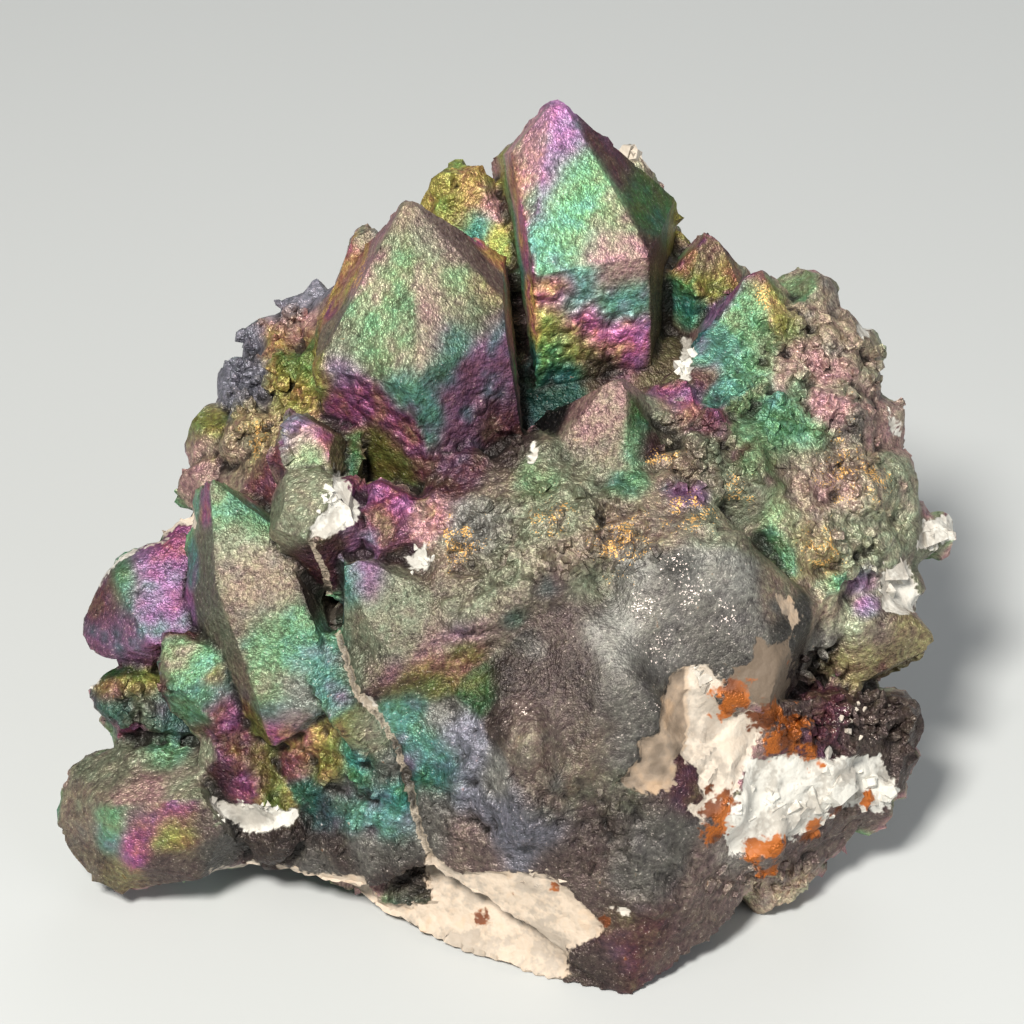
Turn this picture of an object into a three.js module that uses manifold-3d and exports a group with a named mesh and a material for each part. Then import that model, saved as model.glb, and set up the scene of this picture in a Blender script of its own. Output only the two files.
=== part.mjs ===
// A cluster of quartz crystals on its own rocky root, grown together as one solid stone.
// Millimetres. +Z is up, the crystal-covered front looks towards -Y, and the stone rests on
// the flat spot at Z = 0, with the origin under the middle of its footprint.
import * as THREE from "three";
import { ConvexGeometry } from "three/addons/geometries/ConvexGeometry.js";
import { mergeVertices } from "three/addons/utils/BufferGeometryUtils.js";
import Module from "manifold-3d";

const wasm = await Module();
wasm.setup();

// The front slopes back, so its crystals are placed in a frame of their own: x to the right,
// y up the slope and z out of it. FRONT_LEAN is the slope's angle from upright, and
// FRONT_HEIGHT is how far that frame's origin stands above the surface the stone rests on.
const FRONT_LEAN = THREE.MathUtils.degToRad(32);
const FRONT_HEIGHT = 23.7;
const FRONT_TO_UPRIGHT = new THREE.Matrix4()
  .makeTranslation(0, 0, FRONT_HEIGHT)
  .multiply(new THREE.Matrix4().makeRotationX(Math.PI / 2 - FRONT_LEAN));

// The back's frame as seen from behind: x to the right, y straight up and z out of the back.
const BACK_TO_UPRIGHT = new THREE.Matrix4()
  .makeRotationZ(Math.PI)
  .multiply(new THREE.Matrix4().makeRotationX(Math.PI / 2));

// Quartz ends in a pyramid whose faces' normals lie this far from the crystal's long axis.
const PYRAMID_FACE_ANGLE = THREE.MathUtils.degToRad(51.8);
const SAME_POINT = 1e-3;

// A closed geometry as a solid, its loose triangles joined at their shared corners.
function solidOf(geometry) {
  geometry.deleteAttribute("normal");
  geometry.deleteAttribute("uv");
  const merged = mergeVertices(geometry, SAME_POINT);
  return new wasm.Manifold(
    new wasm.Mesh({
      numProp: 3,
      vertProperties: new Float32Array(merged.attributes.position.array),
      triVerts: new Uint32Array(merged.index.array),
    }),
  );
}

// The point where three planes meet, or null where they don't.
function meetingPoint(a, b, c) {
  const bc = new THREE.Vector3().crossVectors(b.normal, c.normal);
  const ca = new THREE.Vector3().crossVectors(c.normal, a.normal);
  const ab = new THREE.Vector3().crossVectors(a.normal, b.normal);
  const volume = a.normal.dot(bc);
  if (Math.abs(volume) < 1e-6) return null;
  return bc
    .multiplyScalar(a.reach)
    .addScaledVector(ca, b.reach)
    .addScaledVector(ab, c.reach)
    .divideScalar(volume);
}

// The corners of the convex solid that lies behind all the planes.
function cornersOf(planes) {
  const corners = [];
  for (let i = 0; i < planes.length; i++)
    for (let j = i + 1; j < planes.length; j++)
      for (let k = j + 1; k < planes.length; k++) {
        const point = meetingPoint(planes[i], planes[j], planes[k]);
        if (!point) continue;
        const inside = planes.every((plane) => plane.normal.dot(point) <= plane.reach + 1e-5);
        const known = corners.some((corner) => corner.distanceTo(point) < 0.02);
        if (inside && !known) corners.push(point);
      }
  return corners;
}

// A quartz crystal with its tip at the origin and its long axis along +Z: six prism faces
// around the axis, and three wide and three narrow pyramid faces. `radius` is the distance
// from axis to prism face, `sides` scales it face by face, `narrow` sets the narrow pyramid
// faces back, `blunt` is how much of the tip is missing, and `cuts` are extra side faces,
// each at an angle around from the first wide face.
function crystalGeometry({
  radius, length, sides = [1, 1, 1, 1, 1, 1], narrow = 0.3, blunt = 0, cuts = [],
}) {
  const planes = [
    { normal: new THREE.Vector3(0, 0, -1), reach: length },
    { normal: new THREE.Vector3(0, 0, 1), reach: -blunt },
  ];
  sides.forEach((side, index) => {
    const around = (index * Math.PI) / 3;
    const outward = new THREE.Vector3(Math.cos(around), Math.sin(around), 0);
    planes.push({ normal: outward, reach: radius * side });
    const sloping = outward
      .clone()
      .multiplyScalar(Math.sin(PYRAMID_FACE_ANGLE))
      .setZ(Math.cos(PYRAMID_FACE_ANGLE));
    planes.push({ normal: sloping, reach: index % 2 ? narrow : 0 });
  });
  cuts.forEach(({ around, reach }) => {
    const angle = THREE.MathUtils.degToRad(around);
    planes.push({ normal: new THREE.Vector3(Math.cos(angle), Math.sin(angle), 0), reach });
  });
  return new ConvexGeometry(cornersOf(planes));
}

// A crystal stood in the front's or the back's frame. `tip` is where it ends, `lean` turns its
// axis from the frame's y to the right, `rise` lifts it out towards z, and `turn` swings its
// first wide face from the viewer to the right. All angles are in degrees.
function crystal(form, frame) {
  const lean = THREE.MathUtils.degToRad(form.lean);
  const rise = THREE.MathUtils.degToRad(form.rise);
  const turn = THREE.MathUtils.degToRad(form.turn);
  const axis = new THREE.Vector3(
    Math.sin(lean) * Math.cos(rise),
    Math.cos(lean) * Math.cos(rise),
    Math.sin(rise),
  );
  const outward = new THREE.Vector3(0, 0, 1).addScaledVector(axis, -axis.z).normalize();
  const sideways = new THREE.Vector3().crossVectors(axis, outward);
  const stand = new THREE.Matrix4()
    .makeBasis(outward, sideways, axis)
    .setPosition(...form.tip)
    .multiply(new THREE.Matrix4().makeRotationZ(turn));
  const geometry = crystalGeometry(form);
  geometry.applyMatrix4(stand).applyMatrix4(frame);
  return solidOf(geometry);
}

// A repeatable number from 0 to 1 for a whole-number seed.
function chance(seed) {
  const wave = Math.sin(seed * 127.1 + 311.7) * 43758.5453;
  return wave - Math.floor(wave);
}

// A knob of rock: a ball of flat faces about the point [x, y, z] in the front's frame, with
// each corner moved in or out by up to KNOB_ROUGHNESS of its distance.
const KNOB_ROUGHNESS = 0.22;
const KNOB_DETAIL = 1;
function knob([x, y, z, radius], index) {
  const ball = new THREE.IcosahedronGeometry(1, KNOB_DETAIL);
  ball.deleteAttribute("normal");
  ball.deleteAttribute("uv");
  const merged = mergeVertices(ball, SAME_POINT);
  const place = merged.attributes.position;
  for (let i = 0; i < place.count; i++) {
    const reach = radius * (1 + KNOB_ROUGHNESS * (2 * chance(index * place.count + i) - 1));
    place.setXYZ(i, x + place.getX(i) * reach, y + place.getY(i) * reach, z + place.getZ(i) * reach);
  }
  return solidOf(merged.applyMatrix4(FRONT_TO_UPRIGHT));
}

// A rock mass with flat broken faces: the hull of corners in the front's frame and of
// corners in the upright frame.
function rockHull(frontCorners, uprightCorners = []) {
  const corners = frontCorners.map((at) => new THREE.Vector3(...at).applyMatrix4(FRONT_TO_UPRIGHT));
  corners.push(...uprightCorners.map((at) => new THREE.Vector3(...at)));
  return solidOf(new ConvexGeometry(corners));
}

// The crystals of the front, from the top down.
const FRONT_CRYSTALS = {
  crown: { tip: [2.7, 25.4, -2], lean: -2, rise: 32, turn: 15, radius: 6.6, length: 22,
    narrow: 0.1, blunt: 0.5, cuts: [{ around: -95, reach: 3.0 }] },
  leftCrown: { tip: [-6.3, 18.8, 2.5], lean: -9, rise: 32, turn: 25, radius: 6.9, length: 24,
    sides: [0.9, 0.72, 1, 1, 1, 1], narrow: 0.1, blunt: 0.3 },
  yellowShoulder: { tip: [-3.6, 22.2, -7], lean: -10, rise: 30, turn: 0, radius: 5, length: 12,
    blunt: 1 },
  shoulderRib: { tip: [-9.5, 17.6, -3], lean: -22, rise: 30, turn: 10, radius: 3.4, length: 12,
    blunt: 0.5 },
  tent: { tip: [6.4, 8.0, 2.5], lean: 6, rise: 42, turn: -20, radius: 4.0, length: 12 },
  leftStub: { tip: [-26.4, -11.0, -4.5], lean: -80, rise: 8, turn: 0, radius: 2.3, length: 11 },
  smallGreen: { tip: [-21.2, -7.4, -0.5], lean: -40, rise: 18, turn: 5, radius: 2.3, length: 12 },
  valleyPrism: { tip: [-19, -12, -2.5], lean: -36, rise: 10, turn: 25, radius: 2.6, length: 10 },
  block: { tip: [-12.6, 2.4, 5.5], lean: -20, rise: 50, turn: 15, radius: 2.6, length: 9,
    blunt: 1.6 },
  blockCap: { tip: [-13.2, 5.8, 3], lean: -20, rise: 40, turn: 0, radius: 2.1, length: 8,
    blunt: 0.6 },
  magentaKnob: { tip: [-7.8, 1.6, 3.8], lean: -5, rise: 50, turn: 20, radius: 2.3, length: 8,
    blunt: 0.8 },
  magentaBud: { tip: [-5.0, 0.9, 3.2], lean: 15, rise: 45, turn: -10, radius: 1.8, length: 8,
    blunt: 0.4 },
  greyTent: { tip: [-10.0, -3.0, 3.6], lean: -44, rise: 32, turn: 8, radius: 4.2, length: 12 },
  longRidge: { tip: [8, -0.4, 2], lean: 58, rise: 7, turn: 30, radius: 4.2, length: 22,
    blunt: 2 },
  boss: { tip: [10.8, 0.6, 6.6], lean: 3, rise: 44, turn: 8, radius: 7.4, length: 14, blunt: 2.2,
    narrow: 0.9 },
  brownBud: { tip: [0.5, -10.8, 6.0], lean: -6, rise: 17, turn: 0, radius: 1.8, length: 9 },
  greenWall: { tip: [15.2, 15.0, -4], lean: -4, rise: 30, turn: -28, radius: 5.0, length: 15 },
  wallRib: { tip: [18.8, 13.6, -6], lean: 14, rise: 26, turn: 0, radius: 3.4, length: 12 },
  foldBlade: { tip: [12.3, 17.4, -7], lean: 6, rise: 30, turn: 20, radius: 2.4, length: 12 },
  foldTip: { tip: [10.2, 18.2, -9.5], lean: 4, rise: 26, turn: 0, radius: 2.0, length: 12 },
  palePoint: { tip: [7.8, 23.4, -9.5], lean: 16, rise: 28, turn: 0, radius: 2.2, length: 12 },
  darkCorner: { tip: [26.2, -7.8, -4], lean: 100, rise: 16, turn: 30, radius: 3.4, length: 12 },
  cornerPillar: { tip: [24.2, -10.6, -4.5], lean: 10, rise: 10, turn: 0, radius: 1.3, length: 7,
    blunt: 0.8 },
};

// The crystals that the front hides, placed as seen from behind.
const BACK_CRYSTALS = {
  tall: { tip: [-4, 35.5, 21.5], lean: -6, rise: 30, turn: 12, radius: 4.4, length: 18 },
  leftHorn: { tip: [14, 26, 17.5], lean: 34, rise: 30, turn: -14, radius: 3.8, length: 18 },
  rightHorn: { tip: [-19.5, 23.5, 15], lean: -38, rise: 32, turn: 8, radius: 3.6, length: 18 },
  middle: { tip: [5, 27, 24.5], lean: 8, rise: 46, turn: 20, radius: 3.8, length: 16 },
  low: { tip: [-8, 17.5, 24.5], lean: -16, rise: 52, turn: 0, radius: 3.2, length: 14 },
  bud: { tip: [10, 14.5, 21], lean: 26, rise: 50, turn: 30, radius: 2.6, length: 12 },
  footBud: { tip: [1, 9, 20.5], lean: 4, rise: 58, turn: 15, radius: 2.2, length: 10 },
};

// Rock and massive quartz under the crystals: the body, then what stands out from it.
const ROCK = {
  body: rockHull([
    [-10, 12, -6], [2, 9, -5], [12, 10, -8], [19, 10, -8], [22, 4, -8], [23, -5, -8],
    [22, -13, -6], [17.5, -20, -6], [11, -26, -2.5], [7, -29.4, 1.8], [2, -28.2, 0.4],
    [-2, -27.2, -1], [-8, -24.8, -4],
    [-14, -21, -7], [-19, -15, -8], [-19, -5, -8], [-15, 5, -8], [8, -16, 3],
  ], [
    [-11, 4, 0], [-8, 9, 0], [1, 10.5, 0], [9, 8, 0], [13, 1, 0],
    [-16, 10, 6], [-7, 15, 5], [4, 16.5, 4], [14, 11, 6], [-19, 5, 13], [18, 8, 14], [17, 14, 17],
    [-12, 15, 16], [2, 20, 12], [11, 17, 18], [3, 21, 19], [-7, 18.5, 18], [3, 20, 29],
    [-6, 16.5, 28], [9, 15.5, 27], [-9, 9, 29], [10, 11, 28],
  ]),
  plateau: rockHull([
    [-9, -2, 0.5], [-4.5, 1.2, 2.2], [4, 2.2, 2.6], [9, 2.4, 1.8], [14, 1.5, 1.5], [9, -1, 5],
    [4, -2.6, 5.8], [-3, -7.2, 5.4], [-9, -11, 3], [-10, -5, -6], [12, 0, -6], [-4, 4, -4],
    [0, -10, -4], [9, 6.5, -1], [1, 4, 0],
  ]),
  curtain: rockHull([
    [4, -4, 5.2], [-1, -9.5, 4.6], [-8.6, -12.3, 2.4], [-6, -21.5, 0.4], [2, -22, 2.6],
    [5.5, -25, 3.2], [3.4, -27.2, 1.6], [7, -29.2, 1.8], [12.6, -25.6, 0], [15.5, -22.6, -2],
    [12, -17, 4.6], [8, -10, 7.4], [5, -10, 6.8], [2, -17, 5.2], [9, -20, 5], [-4, -10, -6],
    [12, -12, -5],
  ]),
  rightMass: rockHull([
    [9, 7.5, -1.5], [13, 12.5, -5], [18, 13, -5.5], [21.2, 10.6, -7], [22.6, 6, -6],
    [24.2, 2.4, -6.5], [25.2, -1.8, -7], [24.2, -5.6, -6], [18.2, -8.6, -0.5], [17, -3, 0.8],
    [14.5, 3, 0.4], [20, 2, -1.6], [18, 8, -3], [12, -4, -8], [12, 8, -10],
  ]),
  leftFlank: rockHull([
    [-11, 14.2, -6.5], [-13, 13, -8], [-15.6, 10.4, -9], [-17, 8, -9], [-19.2, 3, -7.5],
    [-19.4, -0.8, -5], [-14.5, 3, -1.2], [-11.5, 5, -0.4], [-10, -2, -4], [-10, 12, -10],
    [-13, 8.6, -3.4], [-9, 3.5, 1.2], [-11, -3.4, 0.4],
  ]),
  lowerLeft: rockHull([
    [-12.5, -13, 0.4], [-8, -12.4, 2], [-5, -14.5, 2], [-5.4, -21.6, 0.6], [-9, -23.4, -2.2],
    [-13, -22, -5], [-14.5, -18.5, -3.4], [-11, -18, -1], [-18, -21.6, -5.4], [-10, -12, -8],
    [-17, -14, -6],
  ]),
  paleMass: rockHull([
    [12.5, -13.4, 4], [15, -11.6, 3.4], [19, -11.4, 0.6], [23.4, -11.4, -3.6], [24, -15.4, -4.6],
    [23, -17.8, -5.2], [19.4, -19.6, -2.6], [17.6, -22.2, -3.4], [13.4, -21.8, 1], [12.4, -18.4, 3.4],
    [18, -16.6, 0.8], [14, -16, -6], [18, -12, -7],
  ]),
};

// Crystals whose faces have grown unevenly, so each is given by the corners of its faces.
const BROAD_CRYSTALS = {
  longLeft: rockHull([
    [-18.2, 2.0, 1.0], [-14.4, -0.8, 1.4], [-12.7, -4.4, 2.4], [-11.6, -7.4, 2.8],
    [-11.6, -12.2, 2.0], [-14.6, -14.4, 0.2], [-17.7, -4.4, 2.7], [-15.2, -11.4, 2.2],
    [-19.5, 1.2, -2.6], [-20.0, -5, -2.2], [-19.0, -9, -1.8], [-16.8, -12.2, -1.2],
    [-14, 0, -5], [-10, -6, -4], [-10, -12, -5], [-18, -8, -7],
  ]),
  farLeft: rockHull([
    [-22.7, -2.0, -5], [-24.1, -2.6, -5], [-25.2, -3.6, -5], [-25.9, -5.1, -5], [-26.4, -6.3, -5],
    [-26.6, -7.5, -5], [-26.3, -8.4, -5], [-25.6, -8.9, -4.4], [-22.1, -9.4, -3.2],
    [-24.4, -3.9, -3.4], [-23.2, -6.2, -2.2], [-22.0, -8.2, -1.6], [-20.2, -1.2, -4.2],
    [-19.6, -3, -3.6], [-19.6, -7.2, -1.8],
    [-25, -5, -9], [-20, -2, -9], [-19, -8, -9], [-24, -8.5, -8],
  ]),
  farLeftPeak: rockHull([
    [-22.3, -2.2, -5.6], [-21.9, -1.3, -5.6], [-21.1, -0.3, -5.6], [-20.4, 0, -5.6],
    [-19.7, -0.3, -5.2], [-19.3, -1.2, -5], [-20.8, -1.8, -4.6], [-19.5, -3, -8],
  ]),
  foot: rockHull([
    [-27.4, -15.8, -5], [-26.4, -15.2, -5.4], [-25.0, -14.9, -5.4], [-22.9, -14.0, -4.2],
    [-19.6, -14.5, -3], [-28.0, -17.3, -5], [-28.2, -19.3, -5], [-27.4, -21.0, -5],
    [-25.9, -22.7, -4.6], [-24.4, -23.4, -4.1], [-22.8, -23.0, -3.6], [-19.2, -22.5, -2.6],
    [-24.6, -17.8, -0.9], [-23.0, -21.6, -1.7], [-18.8, -17.3, 0.2], [-17.4, -19.4, -0.2],
    [-26, -17, -9], [-24, -21, -8.5], [-17, -16, -9], [-16, -21.8, -6],
  ]),
};

// Knobs of rough rock, each [x, y, z, radius] in the front's frame.
const KNOBS = [
  [18.2, 11.4, -7.4, 3.2], [20.2, 10.0, -8.0, 2.8], [18.4, 8.8, -6.2, 3.3], [20.6, 7.4, -7.2, 3.0],
  [19.2, 5.4, -5.4, 3.5], [21.6, 4.6, -7.6, 3.1], [22.3, 1.8, -7.2, 3.3], [19.8, 1.6, -4.8, 3.6],
  [23.4, -1.0, -8.0, 3.0], [26.3, -1.4, -8.6, 1.7], [21.6, -3.0, -6.2, 3.4], [17.2, 1.0, -3.2, 3.0],
  [18.8, -2.2, -3.8, 3.4], [18.2, -5.6, -3.0, 3.0], [23.4, -4.8, -7.4, 2.6],
  [-12.4, 12.0, -9.2, 2.4], [-14.6, 9.8, -9.4, 2.7], [-16.0, 7.4, -9.4, 2.8],
  [-13.4, 8.0, -7.0, 3.1], [-17.4, 4.2, -8.4, 2.7], [-15.2, 4.4, -6.2, 3.1], [-18.2, 1.2, -7.4, 2.4],
  [9.6, 5.6, -2.6, 2.7], [12.0, 4.4, -2.4, 2.9], [11.2, 2.2, -0.8, 2.7], [14.0, 1.4, -1.2, 2.7],
  [13.4, 6.8, -4.0, 2.9],
  [-2.6, 0.8, -0.2, 2.7], [1.6, 2.0, 0.2, 2.6], [-4.6, -1.8, 0.4, 2.4],
  [23.4, -13.0, -6.0, 2.1], [21.0, -13.0, -4.0, 2.5], [18.6, -13.2, -1.8, 2.6],
  [23.0, -15.2, -6.6, 2.3],
  [14.4, -19.0, -1.2, 3.4], [17.6, -16.6, -2.6, 3.8], [20.6, -17.0, -5.8, 3.1],
  [18.8, -19.2, -5.8, 2.8], [17.0, -21.0, -5.8, 2.6], [15.2, -22.0, -5.2, 2.6],
  [-23.4, -13.0, -6.2, 2.2], [-20.8, -13.0, -5.6, 2.2],
];

// The largest closed surface of a solid, which leaves out the sealed gaps between its pieces.
function withoutSealedGaps(solid) {
  return solid.decompose().reduce((a, b) => (a.volume() > b.volume() ? a : b));
}

function clusterSolid() {
  const pieces = [
    ...Object.values(ROCK),
    ...Object.values(BROAD_CRYSTALS),
    ...KNOBS.map(knob),
    ...Object.values(BACK_CRYSTALS).map((form) => crystal(form, BACK_TO_UPRIGHT)),
    ...Object.values(FRONT_CRYSTALS).map((form) => crystal(form, FRONT_TO_UPRIGHT)),
  ];
  const grown = pieces.reduce((sum, piece) => sum.add(piece));
  const stone = withoutSealedGaps(grown.trimByPlane([0, 0, 1], 0));
  const { min, max } = stone.boundingBox();
  return stone.translate([-(min[0] + max[0]) / 2, -(min[1] + max[1]) / 2, 0]);
}

function meshOf(name, solid, material) {
  const { vertProperties, triVerts } = solid.getMesh();
  const geometry = new THREE.BufferGeometry();
  geometry.setAttribute("position", new THREE.BufferAttribute(vertProperties, 3));
  geometry.setIndex(new THREE.BufferAttribute(triVerts, 1));
  geometry.computeVertexNormals();
  const mesh = new THREE.Mesh(geometry, material);
  mesh.name = name;
  return mesh;
}

const coating = new THREE.MeshStandardMaterial({
  color: new THREE.Color(0.3, 0.33, 0.27),
  roughness: 0.45,
  metalness: 0.6,
});

const quartz = new THREE.Group();
quartz.add(meshOf("quartz_cluster", clusterSolid(), coating));

export default quartz;
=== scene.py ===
"""Dresses a cluster of coated quartz crystals: its fine surface, its finish, and the studio round it."""

import logging
import math
import random
from collections.abc import Callable
from dataclasses import dataclass, field
from enum import Enum

import bpy
import numpy as np
from mathutils import Matrix, Vector, kdtree, noise


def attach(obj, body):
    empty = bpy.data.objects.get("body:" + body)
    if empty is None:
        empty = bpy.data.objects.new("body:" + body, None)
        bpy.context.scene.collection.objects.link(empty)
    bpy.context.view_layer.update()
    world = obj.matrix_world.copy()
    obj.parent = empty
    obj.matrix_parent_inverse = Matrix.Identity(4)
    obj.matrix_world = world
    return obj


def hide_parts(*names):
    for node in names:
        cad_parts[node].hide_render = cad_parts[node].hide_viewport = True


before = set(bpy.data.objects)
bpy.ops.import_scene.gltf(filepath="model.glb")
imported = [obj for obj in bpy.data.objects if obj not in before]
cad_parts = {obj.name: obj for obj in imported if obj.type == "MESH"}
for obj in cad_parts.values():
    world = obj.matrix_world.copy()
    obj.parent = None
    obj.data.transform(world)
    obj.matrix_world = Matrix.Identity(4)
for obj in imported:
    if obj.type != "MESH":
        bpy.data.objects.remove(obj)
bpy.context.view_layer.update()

LOG = logging.getLogger("quartz")
MM = 0.001
NODE = "quartz_cluster"
WEIGHT_STEPS = 40
FAR_OUTSIDE = 3.0


def ease(value: np.ndarray, low: float, high: float) -> np.ndarray:
    """Returns 0 below low, 1 above high, and a smooth rise between them."""
    step = np.clip((value - low) / (high - low), 0.0, 1.0)
    return step * step * (3.0 - 2.0 * step)


@dataclass(frozen=True)
class Front:
    """The sloping front of the stone, with x to the right, y up the slope and z out of it, in mm."""

    lean_deg: float = 32.0
    origin: tuple[float, float, float] = (0.069, -3.791, 23.7)
    viewing_distance: float = 218.4

    def axes(self) -> np.ndarray:
        """Works out which way the front lies.

        Returns:
            The front's x, y and z axes in the part's own axes, one per row.
        """
        lean = math.radians(self.lean_deg)
        up = (0.0, math.sin(lean), math.cos(lean))
        out = (0.0, -math.cos(lean), math.sin(lean))
        return np.array([(1.0, 0.0, 0.0), up, out])

    def to_front(self, points: np.ndarray) -> np.ndarray:
        """Turns points of the part, in metres, into points of the front, in mm."""
        return (points / MM - np.array(self.origin)) @ self.axes().T

    def to_part(self, points: np.ndarray) -> np.ndarray:
        """Turns points of the front, in mm, into points of the part, in metres."""
        return (np.asarray(points, float) @ self.axes() + np.array(self.origin)) * MM

    def sight(self, points: np.ndarray) -> np.ndarray:
        """Says where points of the part fall on the front's own plane, seen from its middle.

        Args:
            points: places on the part, in metres.

        Returns:
            A row of x and y in mm for each point.
        """
        place = self.to_front(points)
        return place[:, :2] * (self.viewing_distance / (self.viewing_distance - place[:, 2:3]))


FRONT = Front()


class Tint(Enum):
    """The coating's colours: its film's thickness in orders of interference, then red, green and blue."""

    BLACK = (0.0, 0.01, 0.011, 0.012)
    BROWN = (0.3, 0.125, 0.088, 0.078)
    OCHRE = (0.55, 0.31, 0.26, 0.13)
    CRIMSON = (0.8, 0.17, 0.05, 0.065)
    VIOLET = (1.0, 0.26, 0.12, 0.23)
    NAVY = (1.15, 0.07, 0.2, 0.22)
    DEEP_TEAL = (1.28, 0.04, 0.22, 0.17)
    DEEP_GREEN = (1.48, 0.11, 0.27, 0.075)
    LIME = (1.72, 0.28, 0.26, 0.06)
    RUST = (1.86, 0.44, 0.25, 0.1)
    MAGENTA = (2.02, 0.29, 0.065, 0.165)
    LILAC = (2.2, 0.27, 0.14, 0.29)
    TEAL = (2.4, 0.095, 0.26, 0.215)
    GREEN = (2.6, 0.13, 0.31, 0.155)
    MOSS = (2.8, 0.21, 0.28, 0.14)
    PINK = (3.0, 0.4, 0.2, 0.23)
    ROSE = (3.2, 0.33, 0.21, 0.185)
    SAGE = (3.45, 0.22, 0.25, 0.165)
    TAN = (3.65, 0.26, 0.19, 0.14)
    PEWTER = (3.85, 0.17, 0.168, 0.152)
    SLATE = (4.0, 0.115, 0.107, 0.094)
    DUSK = (4.15, 0.14, 0.14, 0.172)


DULL_TINTS = (Tint.BLACK, Tint.BROWN, Tint.PEWTER, Tint.SLATE, Tint.DUSK)


def film_colour(order: np.ndarray) -> np.ndarray:
    """Works out the colours of films.

    Args:
        order: the films' thicknesses, in orders of interference.

    Returns:
        A row of red, green and blue for each film.
    """
    known = np.array([tint.value for tint in Tint])
    channels = [np.interp(order, known[:, 0], known[:, channel]) for channel in (1, 2, 3)]
    return np.stack(channels, axis=1)


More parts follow.
